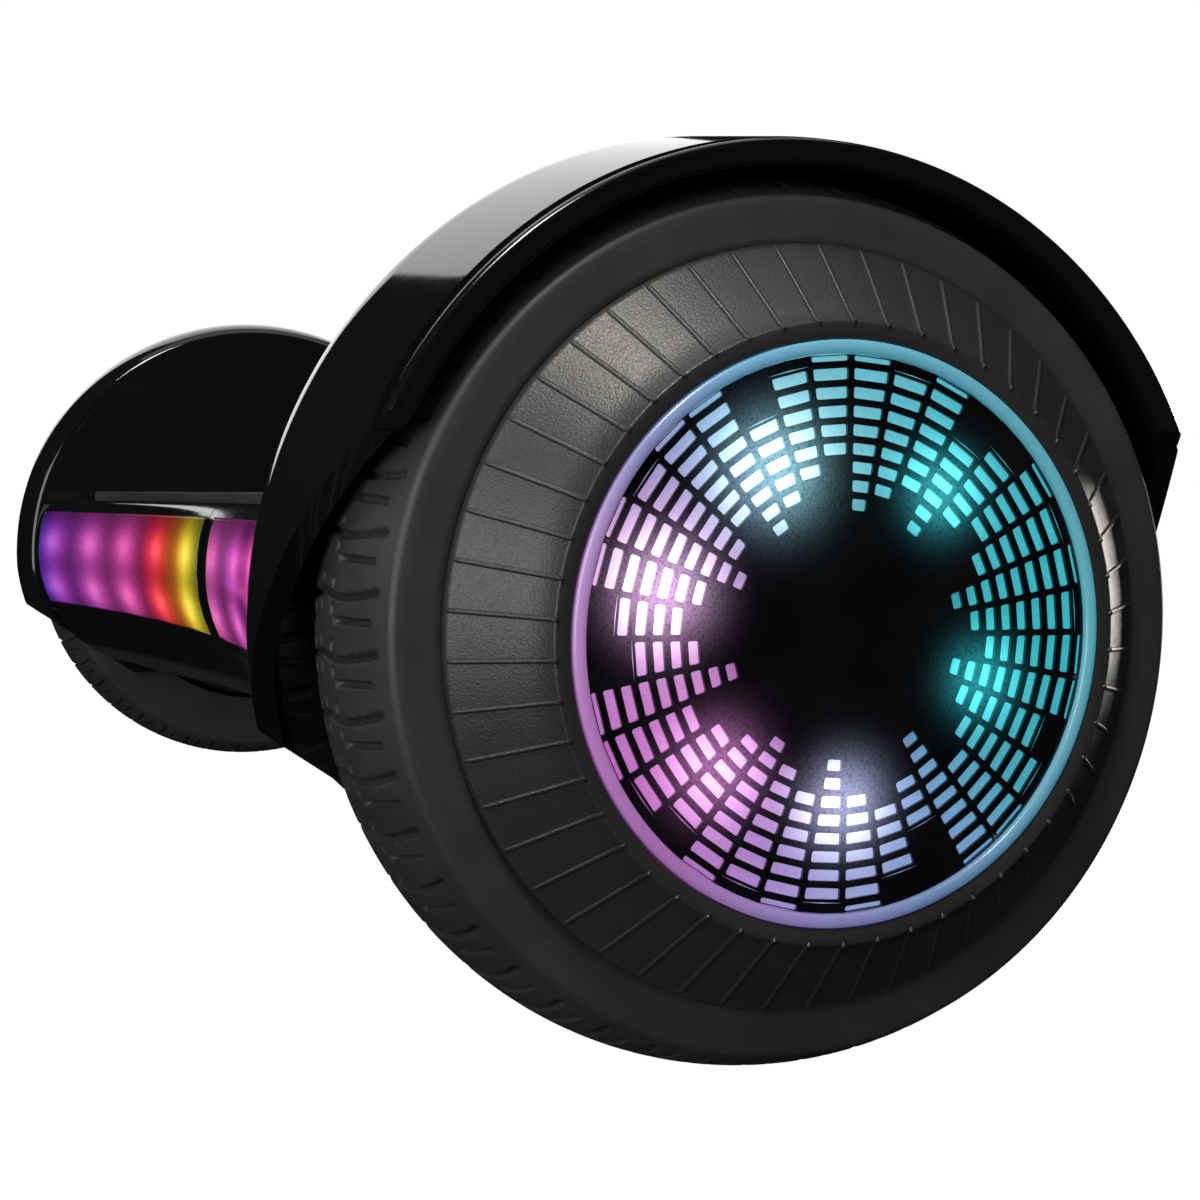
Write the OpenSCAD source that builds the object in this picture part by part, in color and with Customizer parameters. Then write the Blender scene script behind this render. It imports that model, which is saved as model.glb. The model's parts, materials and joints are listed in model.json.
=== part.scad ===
// Self balancing board: two twisting foot decks carried on coaxial hub motor wheels.
// X runs along the board through both wheels, -Y is the front with the light band,
// +Z is up, and the origin is on the floor under the middle of the board.

/* [Overall] */
// Length over both wheel caps
board_length = 601; // [560:1:740]
// Half depth of the body at the waist between the feet
waist_half_depth = 66; // [60:1:85]
// Half depth of the body where it meets the wheel arches
flare_half_depth = 94.5; // [86:0.5:98]
// Height of the foot deck above the axle
deck_rise = 22.5; // [20:0.5:30]
// Depth of the belly below the axle
belly_drop = 50; // [45:1:60]

/* [Wheel] */
// Radius of the tyre at its crown
tyre_r = 89.4; // [80:0.2:110]
// Radius of the tyre at its sides
tyre_side_r = 82.3; // [76:0.1:100]
// Width of the tyre
tyre_w = 49; // [42:1:58]
// Number of tread blocks round the tyre
tread_blocks = 48; // [36:2:60]
// Radius of the motor shell that the tyre sits on
motor_r = 61; // [58:1:62]
// Radius of the fixed axle
axle_r = 7.5; // [6:0.5:9]
// Width of one wheel bearing
bearing_w = 9; // [7:1:10]
// Outer radius of one wheel bearing
bearing_r = 16; // [14:1:18]

/* [Hub cap] */
// Distance that the hub cap stands out from the tyre's side
cap_rise = 16.5; // [12:0.5:24]
// Radius of the fluted cone where it meets the tyre
cap_r = 73; // [70:0.5:76]
// Radius of the fluted cone at the flat face
face_r = 57.8; // [56:0.2:60]
// Radius of the translucent lens
lens_r = 54.4; // [52:0.2:55]
// Thickness of the hub cap's wall
cap_t = 2.5; // [2:0.1:3]

/* [Wheel arch] */
// Gap between the tyre's inner side and the arch's wall
wheel_gap = 3; // [2:0.5:8]
// Thickness of the arch's wall beside the body
arch_wall = 3.5; // [3:0.5:8]
// Height of the arch's crown above the tyre
arch_rise_inner = 10.5; // [8:0.5:20]
// Height of the rim above the tyre's crown
arch_rise_outer = 3.9; // [3:0.1:8]
// Thickness of the arch over the tyre
arch_t = 4.5; // [3:0.5:5]
// Distance that the rim stands out past the tyre's side
rim_overhang = 2.5; // [0:0.5:6]
// Width of the rim trim
trim_w = 4; // [3:0.5:6]
// Radius of the sweep that clears the wheel from in front
arch_cut_r = 170; // [120:5:300]
// Height of the rim's ends above the axle
arch_end_rise = 40; // [25:1:50]

/* [Shells] */
// Wall thickness of both shells
wall = 3; // [2:0.5:4]
// Thickness of the foot deck
deck_t = 4; // [3.5:0.5:6]
// Height of the seam between the shells, above the axle
seam_rise = -22.5; // [-26:0.5:-20]
// Gap between the two halves of the board
half_gap = 1; // [0.6:0.1:3]
// Inset of the deck's edge from the widest line
top_inset = 7; // [4:1:14]
// Inset of the belly's flat from the widest line
belly_inset = 58; // [40:1:60]

/* [Foot pad] */
// Length of the pad's margin from the waist end
pad_start = 30; // [26:1:60]
// Margin between the pad and the deck's edges
pad_margin = 12; // [8:1:24]
// Thickness of the pad
pad_t = 3.8; // [3:0.2:6]
// Travel of the pad when stood on
pad_travel = 1.5; // [1:0.1:1.6]
// Distance between the two sensor plungers
plunger_pitch = 60; // [50:1:80]

/* [Front light] */
// Lower edge of the lens, above the axle
light_bottom = -19.5; // [-20:0.5:-10]
// Upper edge of the lens, above the axle
light_top = 18; // [10:0.5:18]
// Length of black shell between the lens and the arch
light_margin = 5; // [4:1:50]
// Distance between neighbouring LEDs
led_pitch = 16; // [12:1:30]

/* [Chassis] */
// Half width of the chassis plate
chassis_half_w = 42; // [40:1:44]
// Thickness of the chassis plate
plate_t = 4; // [3:0.5:5]
// Height of the chassis plate's underside above the axle
plate_rise = -30.5; // [-32:0.5:-29]
// Outer radius of the pivot shaft
pivot_r = 11; // [9:0.5:12]
// Length of the pivot blocks
pivot_block = 20; // [16:1:26]
// Length of the axle clamp
clamp_len = 26; // [22:1:32]

/* [Power] */
// Length of the battery pack
battery_len = 120; // [90:1:130]
// Height of the battery pack
battery_h = 30; // [24:1:31]
// Distance of the rear panel from the middle of the board
panel_x = 100; // [70:1:130]
// Length of the rear panel
panel_len = 70; // [64:1:90]
// Height of the rear panel
panel_h = 28; // [28:1:32]

/* [Hidden] */
$fn = 96;
clear = 0.3;
slack = 0.05;
over = 1;
// How far the curved section runs past the deck and the belly's flat, which cut it off
lip = 0.2;

// Stations along one half, measured outward from the middle of the board
lens_crown = 0.5;
hub_face_x = board_length / 2 - lens_crown;
tyre_x1 = hub_face_x - cap_rise;
tyre_x0 = tyre_x1 - tyre_w;
arch_x0 = tyre_x0 - wheel_gap;
body_x = arch_x0 - arch_wall;
arch_x1 = tyre_x1 + rim_overhang;
body_x0 = half_gap / 2;

// Shell section: the front and rear are surfaces of revolution about upright waist axes
flare = flare_half_depth - waist_half_depth;
waist_r = (body_x * body_x + flare * flare) / (2 * flare);
waist_axis = waist_half_depth + waist_r;
sweep_deg = asin(body_x / waist_r) + 2;
inner_top = deck_rise - deck_t;
inner_floor = wall - belly_drop;
plate_top = plate_rise + plate_t;

// Foot pad
pad_recess = 2;
pad_x1 = body_x - 14;
pad_bottom = deck_rise - pad_recess + pad_travel + 0.2;
pad_top = pad_bottom + pad_t;
pad_mid_x = (pad_start + pad_x1) / 2;
plunger_r = 6;
plunger_bottom = inner_top - 2;
flag_drop = 5.5;
sensor_z = 7;
pcb_t = 1.6;
sensor_len = plunger_pitch + 24;
sensor_w = 36;
sensor_post_r = 3;

// Screws through the bottom shell, the chassis and into the top shell
screw_xs = [40, (40 + body_x - 41) / 2, body_x - 41];
screw_y = 34;
boss_r = 4;
screw_r = 1.5;
head_r = 3.2;
head_h = 2.4;
head_recess = 7;
screw_len = 30;
screw_hole_r = screw_r + slack;
clamp_screw_r = 2.5;
clamp_screw_depth = 15;
clamp_half_w = 22;
clamp_top = 13.5;

// Status lens in the deck beside the waist
status_x = 17;

// Front light
light_x0 = 8;
light_x1 = body_x - light_margin;
bar_depth = 12;
led_size = 5;
led_rows = [-9, 8];

// Wheel arch: a drum with a rounded inner edge, a level crown and a cone out to the rim
arch_r0 = tyre_r + arch_rise_inner;
arch_r1 = tyre_r + arch_rise_outer;
arch_edge = 6;
crown_x = arch_x1 - 40;
shoulder_w = crown_x - body_x;
trim_x0 = arch_x1 - trim_w;
trim_groove = 0.6;
trim_r = arch_r0 + (arch_r1 - arch_r0) * (trim_x0 - trim_groove - crown_x) / (arch_x1 - crown_x);
cut_low = [arch_x0 + 12.5, -9];
cut_high = [arch_x1, arch_end_rise];
cut_chord = cut_high - cut_low;
cut_side = [cut_chord[1], -cut_chord[0]] / norm(cut_chord);
cut_centre = (cut_low + cut_high) / 2 + cut_side * sqrt(pow(arch_cut_r, 2) - pow(norm(cut_chord) / 2, 2));
skirt = [[flare_half_depth + 3.5, -20.5], [flare_half_depth - 40.5, -belly_drop]];
axle_hole_r = axle_r + 1.5;
arch_screws = [[38, -22], [38, 8], [-38, -22], [-38, 8]];
flange_top = 15;

// Hub motor
motor_x0 = tyre_x0 + 0.5;
motor_x1 = tyre_x1 - 2.5;
motor_wall = 4;
cover_x0 = motor_x1 - motor_wall;
boss_t = 3;
bearing_in_x = motor_x0 + 1;
bearing_out_x = motor_x1 - 1 - bearing_w;
core_x0 = motor_x0 + motor_wall + 2.5;
core_x1 = cover_x0 - 2.5;
hub_x0 = bearing_in_x + bearing_w + 0.5;
hub_x1 = bearing_out_x - 0.5;
magnet_r1 = motor_r - motor_wall;
magnet_r0 = magnet_r1 - 3;
magnet_back_r = magnet_r1 - slack;
core_r = magnet_r0 - 0.6;
core_inner_r = bearing_r + boss_t + 6;
slot_r0 = core_inner_r + 9;
slot_r1 = core_r - 3;
slot_w = 5;
slot_count = 18;
magnet_count = 30;

// Hub cap and lens
lens_t = 2.8;
lens_x0 = hub_face_x - 4.4;
mask_x0 = lens_x0 + lens_t;
mask_t = 0.8;
ring_r0 = lens_r - 2.5;
ledge_r = lens_r - 4.4;
cap_x0 = tyre_x1 + 0.1;
cap_lip_x = tyre_x1 + 2;
led_board_x = motor_x1 + 4;
led_post_r = 40;

// Pivot between the halves
block_x0 = 10;
block_x1 = block_x0 + pivot_block;
bush_t = 2;
bush_r = pivot_r + bush_t;
bush_flange = 1.2;
collar_r = pivot_r + 3;
notch_r = collar_r + 6;
bush_gap = 0.3;
ring_t = 2;
shaft_wall = 3;
block_half_w = 24;

// Rear panel with the button and the charge socket
panel_z = -2;
panel_deg = asin(panel_x / waist_r);
panel_depth = 5;
panel_proud = 1;
panel_round = 6;
port_x = -18;
button_x = 18;
port_r = 8;
socket_r = 6;
socket_depth = 10;
button_r = 8;
button_proud = 2.5;
button_depth = 6;
cap_flap_r = 8.4;
flap_t = 2;
flap_pin = [2.9, -11.2];
flap_pin_r = 0.8;
flap_knuckle_r = 1.6;
flap_knuckle_len = 6;
speaker_r = 14;
speaker_depth = 8;

battery_x0 = 62;
battery_half_w = 28;
strap_t = 1.5;
strap_w = 24;
board_len = 110;

black = [0.03, 0.03, 0.035];
rubber_black = [0.06, 0.06, 0.06];
metal = [0.72, 0.73, 0.75];
pcb_green = [0.05, 0.3, 0.12];

// Places a piece of the right half, drawn about the axle, at its height above the floor
module right_side() {
  translate([0, 0, tyre_r]) children();
}

// Places the mirror image for the left half
module left_side() {
  translate([0, 0, tyre_r]) mirror([1, 0, 0]) children();
}

// Cylinder along X from x0 to x1
module rod(r, x0, x1) {
  translate([x0, 0, 0]) rotate([0, 90, 0]) cylinder(r = r, h = x1 - x0);
}

// Turns a list of [radius, x] points about the X axis
module turned(pts) {
  rotate([0, 90, 0]) rotate_extrude() polygon(pts);
}

// Ring about the X axis
module ring(r0, r1, x0, x1) {
  turned([[r0, x0], [r1, x0], [r1, x1], [r0, x1]]);
}

// Box between two corners
module block(low, high) {
  translate(low) cube(high - low);
}

// Rounded rectangle about the origin
module round_rect(w, h, r) {
  square([w - 2 * r, h], center = true);
  square([w, h - 2 * r], center = true);
  for (sx = [-1, 1], sy = [-1, 1])
    translate([sx * (w / 2 - r), sy * (h / 2 - r)]) circle(r);
}

// Edge of the body section at an inward offset w, as [radius from the waist axis, height]
function section(w, top) = concat(
  [[waist_r + w + belly_inset, w - belly_drop - over]],
  [for (t = [0 : 9 : 90]) [waist_r + w + belly_inset * (1 - sin(t)), (w - belly_drop - lip) * cos(t)]],
  [for (t = [15 : 15 : 90]) [waist_r + w + top_inset * (1 - cos(t)), (top + lip) * sin(t)]],
  [[waist_r + w + top_inset, top + over]]
);

// Space in front of the body at an inward offset w
module front_space(w, top) {
  translate([0, -waist_axis, 0])
    rotate([0, 0, 90 - sweep_deg])
      rotate_extrude(angle = sweep_deg + 3, $fn = 360)
        polygon(concat(
          [[waist_r - 60, w - belly_drop - over]],
          section(w, top),
          [[waist_r - 60, top + over]]
        ));
}

// Solid body at an inward offset w from x0 to x1
module body_block(w, top, x0, x1) {
  difference() {
    block([x0, -flare_half_depth - 2, w - belly_drop], [x1, flare_half_depth + 2, top]);
    front_space(w, top);
    mirror([0, 1, 0]) front_space(w, top);
  }
}

// Frame on the rear surface: local Y points out of the body, local X along it
module at_panel(x = 0) {
  translate([0, waist_axis, panel_z]) rotate([0, 0, panel_deg]) translate([x, -waist_r, 0]) children();
}

// Plate in the rear frame, from depth y0 to y1
module panel_plate(w, h, r, y0, y1) {
  translate([0, y1, 0]) rotate([90, 0, 0]) linear_extrude(y1 - y0) round_rect(w, h, r);
}

// Cylinder in the rear frame, along local Y
module panel_rod(r, y0, y1) {
  translate([0, y0, 0]) rotate([-90, 0, 0]) cylinder(r = r, h = y1 - y0);
}

// Outline of the foot pad, grown by g
module pad_outline(g) {
  difference() {
    translate([pad_start - g, -flare_half_depth])
      square([pad_x1 - pad_start + 2 * g, 2 * flare_half_depth]);
    for (s = [-1, 1]) translate([0, s * waist_axis]) circle(waist_r + top_inset + pad_margin - g, $fn = 360);
  }
}

module plunger_places() {
  for (s = [-1, 1]) translate([pad_mid_x + s * plunger_pitch / 2, 0, 0]) children();
}

module screw_places() {
  for (x = screw_xs, s = [-1, 1]) translate([x, s * screw_y, 0]) children();
}

module top_shell() {
  color(black) difference() {
    union() {
      difference() {
        body_block(0, deck_rise, body_x0, body_x);
        body_block(wall, inner_top, body_x0 + wall, body_x + over);
        block([-over, -200, -belly_drop - over], [body_x + over, 200, seam_rise]);
      }
      screw_places() translate([0, 0, plate_top]) cylinder(r = boss_r, h = inner_top - plate_top + over);
      sensor_posts() cylinder(r = sensor_post_r, h = inner_top - sensor_z - pcb_t + over);
      if ($children > 1) children(1);
    }
    screw_places() translate([0, 0, plate_top - over]) cylinder(r = screw_hole_r, h = screw_len);
    plunger_places() cylinder(r = plunger_r + clear, h = deck_rise + over);
    translate([0, 0, deck_rise - pad_recess]) linear_extrude(pad_recess + over) pad_outline(clear);
    block([light_x0, -flare_half_depth - 5, light_bottom], [light_x1, -waist_half_depth + 14, light_top]);
    rod(notch_r, -over, body_x0 + wall + over);
    translate([status_x, 0, inner_top - over]) linear_extrude(deck_t + 2) round_rect(10, 26, 4);
    children(0);
  }
}

module sensor_posts() {
  for (sx = [-1, 1], sy = [-1, 1])
    translate([pad_mid_x + sx * (sensor_len / 2 - 5), sy * (sensor_w / 2 - 5), sensor_z + pcb_t]) children();
}

module panel_opening() {
  at_panel() panel_plate(panel_len + clear, panel_h + clear, panel_round, -wall - 4, 5);
}

module speaker_slots() {
  for (i = [-2 : 2])
    at_panel(i * 5) panel_plate(2.6, 22 - abs(i) * 4, 1.2, -speaker_depth + 0.5, 4);
}

// Short tube behind the slots that the speaker seats on
module speaker_seat() {
  at_panel() difference() {
    panel_rod(speaker_r, -speaker_depth, -wall + 0.5);
    panel_rod(speaker_r - 1.5, -speaker_depth - over, -wall + over);
  }
}

module bottom_shell() {
  color(black) difference() {
    union() {
      difference() {
        body_block(0, deck_rise, body_x0, body_x);
        body_block(wall, inner_top, body_x0 + wall, body_x + over);
        block([-over, -200, seam_rise], [body_x + over, 200, deck_rise + over]);
      }
      intersection() {
        screw_places() translate([0, 0, -belly_drop]) cylinder(r = head_r + 1.5, h = plate_rise + belly_drop);
        body_block(0, deck_rise, body_x0, body_x);
      }
    }
    screw_places() translate([0, 0, -belly_drop - over]) cylinder(r = head_r + clear, h = over + head_recess + head_h);
    screw_places() translate([0, 0, -belly_drop]) cylinder(r = screw_hole_r, h = belly_drop);
    rod(notch_r, -over, body_x0 + wall + over);
  }
}

// Sweep that clears the arch from in front of the wheel
module arch_sweep() {
  intersection() {
    translate([cut_centre[0], 200, cut_centre[1]]) rotate([90, 0, 0]) cylinder(r = arch_cut_r, h = 400, $fn = 360);
    block([arch_x0, -200, -200], [arch_x1 + 50, 200, 200]);
  }
}

function arc(cx, cy, r, a0, a1, n) = [for (i = [0 : n]) let (a = a0 + (a1 - a0) * i / n) [cx + r * cos(a), cy + r * sin(a)]];

// Rounded inner shoulder of the drum, from the wall to the crown
function shoulder() = [for (a = [90 : -10 : 0]) [arch_r0 - arch_edge * (1 - cos(a)), crown_x - shoulder_w * sin(a)]];

module fender() {
  color(black) difference() {
    turned(concat(
      [[axle_hole_r, arch_x0], [axle_hole_r, body_x]],
      shoulder(),
      [[trim_r, trim_x0 - trim_groove], [trim_r - arch_t, trim_x0 - trim_groove],
       [arch_r0 - arch_t, crown_x], [arch_r0 - arch_edge - arch_t + 2, arch_x0]]
    ));
    arch_sweep();
    skirt_cut();
    for (p = arch_screws) translate([0, p[0], p[1]]) rod(screw_r + 0.5, body_x - over, arch_x0 + over);
  }
}

// Everything below the angular lower edge of the arch
module skirt_cut() {
  below = -belly_drop - 80;
  left = [for (p = skirt) [-p[0], p[1]]];
  right = [for (i = [len(skirt) - 1 : -1 : 0]) skirt[i]];
  translate([body_x - over, 0, 0]) rotate([90, 0, 90]) linear_extrude(shoulder_w)
    polygon(concat([[-200, skirt[0][1]]], left, right, [[200, skirt[0][1]], [200, below], [-200, below]]));
}

module fender_trim() {
  r0 = arch_r1 - 5;
  round = 1.2;
  color([0.05, 0.05, 0.055]) difference() {
    turned(concat(
      [[r0, trim_x0], [r0, arch_x1]],
      arc(arch_r1 - round, arch_x1 - round, round, 90, 0, 4),
      [[arch_r1, trim_x0]]
    ));
    arch_sweep();
  }
}

module light_lens() {
  color([0.85, 0.2, 0.65]) intersection() {
    difference() {
      body_block(0, deck_rise, body_x0, body_x);
      body_block(wall, inner_top, body_x0 + wall, body_x + over);
    }
    block([light_x0 + clear, -flare_half_depth - 5, light_bottom + clear],
          [light_x1 - clear, -waist_half_depth + 13, light_top - clear]);
  }
}

module light_bar() {
  count = floor((light_x1 - light_x0 - 10) / led_pitch);
  color([0.9, 0.9, 0.85]) {
    intersection() {
      difference() {
        body_block(bar_depth, inner_top, body_x0, body_x);
        body_block(bar_depth + pcb_t, inner_top, body_x0 - over, body_x + over);
      }
      block([light_x0, -flare_half_depth, seam_rise + 2], [light_x1, -10, inner_top - 0.2]);
    }
    for (i = [0 : count - 1], z = led_rows)
      translate([0, -waist_axis, z])
        rotate([0, 0, -asin((light_x0 + 10 + i * led_pitch) / waist_r)])
          translate([-led_size / 2, waist_r + bar_depth - 1.5, -led_size / 2]) cube([led_size, 4, led_size]);
  }
}

module status_lens() {
  color([0.5, 0.8, 0.9]) translate([status_x, 0, inner_top]) linear_extrude(deck_t + 0.3) round_rect(9.6, 25.6, 3.8);
}

module chassis(bore_r) {
  flange_x = body_x - plate_t;
  color(metal) difference() {
    union() {
      block([block_x0, -chassis_half_w, plate_rise], [body_x, chassis_half_w, plate_top]);
      for (s = [-1, 1])
        translate([block_x1 + 4, s * (chassis_half_w - 1.75) - 1.75, plate_top - over])
          cube([body_x - clamp_len - block_x1 - 12, 3.5, 13]);
      block([block_x0, -block_half_w, plate_top - over], [block_x1, block_half_w, inner_top - clear]);
      block([flange_x - clamp_len, -clamp_half_w, plate_top - over], [flange_x, clamp_half_w, 0]);
      block([flange_x, -chassis_half_w, plate_rise], [body_x, chassis_half_w, flange_top]);
    }
    rod(bore_r, block_x0 - over, block_x1 + over);
    rod(axle_r, flange_x - clamp_len - over, flange_x + 1);
    rod(axle_hole_r, flange_x, body_x + over);
    screw_places() translate([0, 0, plate_rise - over]) cylinder(r = screw_hole_r, h = plate_t + 2);
    clamp_screw_places() translate([0, 0, -clamp_screw_depth - over]) cylinder(r = clamp_screw_r + slack, h = clamp_screw_depth + 2);
    for (p = arch_screws) translate([0, p[0], p[1]]) rod(screw_hole_r, flange_x - over, body_x + over);
  }
}

module clamp_screw_places() {
  for (sx = [-1, 1], sy = [-1, 1])
    translate([body_x - plate_t - clamp_len / 2 + sx * (clamp_len / 2 - 5), sy * 16, 0]) children();
}

module axle_clamp() {
  flange_x = body_x - plate_t;
  color(metal) difference() {
    block([flange_x - clamp_len + 0.5, -clamp_half_w, 0.2], [flange_x - 0.5, clamp_half_w, clamp_top]);
    rod(axle_r, flange_x - clamp_len - over, flange_x + over);
    clamp_screw_places() cylinder(r = clamp_screw_r + slack, h = clamp_top + over);
  }
}

// Fixed screws: under the belly, on the axle clamp and through the arch's wall
module screws() {
  color([0.25, 0.25, 0.27]) {
    screw_places() translate([0, 0, head_recess - belly_drop]) {
      difference() {
        cylinder(r = head_r, h = head_h);
        translate([0, 0, -over]) cylinder(r = 1.5, h = over + 1.5, $fn = 6);
      }
      cylinder(r = screw_r, h = plate_top - head_recess + belly_drop + 12);
    }
    clamp_screw_places() {
      translate([0, 0, -clamp_screw_depth]) cylinder(r = clamp_screw_r, h = clamp_top + clamp_screw_depth);
      difference() {
        translate([0, 0, clamp_top]) cylinder(r = 4.2, h = 3.5);
        translate([0, 0, clamp_top + 1.5]) cylinder(r = 2, h = 5, $fn = 6);
      }
    }
    for (p = arch_screws) translate([0, p[0], p[1]]) {
      rod(screw_r, body_x - plate_t + 0.5, arch_x0);
      rod(head_r, arch_x0, arch_x0 + 1.4);
    }
  }
}

module foot_pad() {
  color(rubber_black) {
    translate([0, 0, pad_bottom]) linear_extrude(pad_t) pad_outline(0);
    plunger_places() translate([0, 0, plunger_bottom]) cylinder(r = plunger_r, h = pad_bottom - plunger_bottom + over);
    plunger_places() translate([-1, -3, plunger_bottom - flag_drop]) cube([2, 6, flag_drop + over]);
  }
}

module sensor_board() {
  color(pcb_green) {
    translate([pad_mid_x - sensor_len / 2, -sensor_w / 2, sensor_z]) cube([sensor_len, sensor_w, pcb_t]);
    plunger_places() for (s = [-1, 1])
      translate([s * 3.5 - 1.5, -5, sensor_z + pcb_t - 0.5]) cube([3, 10, 5.5]);
    translate([pad_mid_x - 6, -6, sensor_z + pcb_t - 0.5]) cube([12, 12, 2]);
  }
}

module axle() {
  color(metal) rod(axle_r, body_x - plate_t - clamp_len - 2, motor_x1 - 1);
}

module stator() {
  color([0.35, 0.36, 0.38]) difference() {
    union() {
      ring(core_inner_r, core_r, core_x0, core_x1);
      ring(axle_r, core_inner_r + over, hub_x0, hub_x1);
    }
    for (i = [0 : slot_count - 1]) rotate([i * 360 / slot_count, 0, 0]) {
      block([core_x0 - over, -slot_w / 2, slot_r0], [core_x1 + over, slot_w / 2, slot_r1]);
      block([core_x0 - over, -1, slot_r1 - over], [core_x1 + over, 1, core_r + over]);
    }
  }
}

module windings() {
  color([0.7, 0.35, 0.15]) for (i = [0 : slot_count - 1]) rotate([i * 360 / slot_count, 0, 0])
    block([core_x0 - 2, -slot_w / 2 + 0.2, slot_r0 + 0.2], [core_x1 + 2, slot_w / 2 - 0.2, slot_r1 - 0.2]);
}

module motor_shell() {
  color([0.2, 0.2, 0.21]) {
    ring(magnet_r1, motor_r, motor_x0, cover_x0);
    ring(bearing_r, magnet_r1 + over, motor_x0, motor_x0 + motor_wall);
    ring(bearing_r, bearing_r + boss_t, motor_x0, bearing_in_x + bearing_w);
    ring(axle_r + 2, bearing_r + over, motor_x0, bearing_in_x);
  }
}

module magnet_ring() {
  step = 360 / magnet_count;
  color([0.5, 0.5, 0.55]) for (i = [0 : magnet_count - 1]) rotate([i * step, 0, 0])
    rotate([0, 90, 0]) translate([0, 0, core_x0]) rotate_extrude(angle = step - 1)
      translate([magnet_r0, 0]) square([magnet_back_r - magnet_r0, core_x1 - core_x0]);
}

module motor_cover() {
  color(metal) {
    ring(bearing_r, motor_r, cover_x0, motor_x1);
    ring(bearing_r, bearing_r + boss_t, bearing_out_x, cover_x0 + over);
    ring(axle_r + 2, bearing_r + over, bearing_out_x + bearing_w, motor_x1);
    for (a = [45 : 90 : 315]) rotate([a, 0, 0]) translate([0, 0, led_post_r]) rod(3, motor_x1 - over, led_board_x);
  }
}

module wheel_bearings() {
  color(metal) for (x = [bearing_in_x, bearing_out_x])
    ring(axle_r + slack, bearing_r, x, x + bearing_w);
}

// Straight-sided bar along the X axis whose flat sides are the crowns of the tread blocks
module tread_flats(corner_r) {
  step = 360 / tread_blocks;
  translate([tyre_x0 - 1, 0, 0]) rotate([0, 90, 0]) linear_extrude(tyre_w + 2)
    polygon([for (i = [0 : tread_blocks - 1]) corner_r * [cos(step * (i + 0.5)), sin(step * (i + 0.5))]]);
}

// Tyre with a crowned tread, small edge rounds, and a flat on the crown of each tread block
module tyre() {
  edge = 1.5;
  corner_r = tyre_r / cos(180 / tread_blocks);
  rise = corner_r - tyre_side_r;
  half = tyre_w / 2;
  crown_r = (rise * rise + half * half) / (2 * rise);
  mid_x = (tyre_x0 + tyre_x1) / 2;
  side_deg = asin((half - edge) / crown_r);
  color(rubber_black) intersection() {
    turned(concat(
      [[motor_r, motor_x0], [motor_r, motor_x1], [motor_r + 2, tyre_x1], [tyre_side_r - edge, tyre_x1]],
      [for (a = [side_deg : -side_deg / 8 : -side_deg - 0.01])
        [corner_r - crown_r * (1 - cos(a)), mid_x + crown_r * sin(a)]],
      [[tyre_side_r - edge, tyre_x0], [motor_r + 2, tyre_x0]]
    ));
    tread_flats(corner_r);
  }
}

module hub_cap() {
  slope = (cap_r - face_r) / (hub_face_x - cap_lip_x);
  ledge_x = lens_x0 - cap_t;
  inner_r = cap_r - 1.4 * cap_t;
  ledge_corner = inner_r - slope * (ledge_x - cap_lip_x) - 0.6;
  color([0.16, 0.155, 0.15]) turned([
    [cap_r, cap_x0], [cap_r, cap_lip_x], [face_r, hub_face_x], [lens_r + 0.2, hub_face_x],
    [lens_r + 0.2, lens_x0], [ledge_r, lens_x0], [ledge_r, motor_x1], [ledge_r + cap_t, motor_x1],
    [ledge_r + cap_t, ledge_x], [ledge_corner, ledge_x], [inner_r, cap_lip_x - 0.5], [inner_r, cap_x0]
  ]);
}

module hub_lens() {
  mid_r = (ring_r0 + lens_r) / 2;
  ring_w = (lens_r - ring_r0) / 2;
  color([0.3, 0.75, 0.9]) turned(concat(
    [[0, lens_x0], [lens_r, lens_x0]],
    arc(mid_r, hub_face_x + lens_crown - ring_w, ring_w, 0, 180, 8),
    [[ring_r0, mask_x0], [0, mask_x0]]
  ));
}

module hub_mask() {
  color([0.02, 0.02, 0.02]) rod(ring_r0 - 0.1, mask_x0, mask_x0 + mask_t);
}

module hub_led_board() {
  color([0.85, 0.85, 0.8]) {
    ring(14, ledge_r - 0.3, led_board_x, led_board_x + pcb_t);
    for (r = [26, 42], a = [0 : 30 : 330])
      rotate([a, 0, 0]) translate([led_board_x + pcb_t - 0.5, -2.5, r - 2.5]) cube([2.1, 5, 5]);
  }
}

module pivot_shaft() {
  left_end = -block_x1 - bush_flange - bush_gap - ring_t - 2;
  color(metal) difference() {
    union() {
      rod(pivot_r, left_end, block_x1);
      rod(collar_r, -block_x0 + bush_flange + bush_gap, block_x0);
    }
    rod(pivot_r - shaft_wall, left_end - over, block_x1 + over);
  }
}

module pivot_bushes() {
  half = pivot_block / 2 - 0.2;
  color([0.75, 0.6, 0.3]) for (s = [0, 1])
    translate([-(block_x0 + block_x1) / 2, 0, 0]) mirror([s, 0, 0]) {
      ring(pivot_r + slack, bush_r, pivot_block / 2 - half, pivot_block / 2);
      ring(pivot_r + slack, bush_r + 2, pivot_block / 2, pivot_block / 2 + bush_flange);
    }
}

module pivot_ring() {
  x1 = -block_x1 - bush_flange - bush_gap;
  color([0.4, 0.4, 0.42]) ring(pivot_r, bush_r + 2.5, x1 - ring_t, x1);
}

module battery_pack() {
  color([0.1, 0.25, 0.55]) {
    block([battery_x0, -battery_half_w, plate_top], [battery_x0 + battery_len, battery_half_w, plate_top + battery_h]);
    block([battery_x0 - 6, -10, plate_top + 6], [battery_x0 + over, 10, plate_top + 18]);
  }
}

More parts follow.
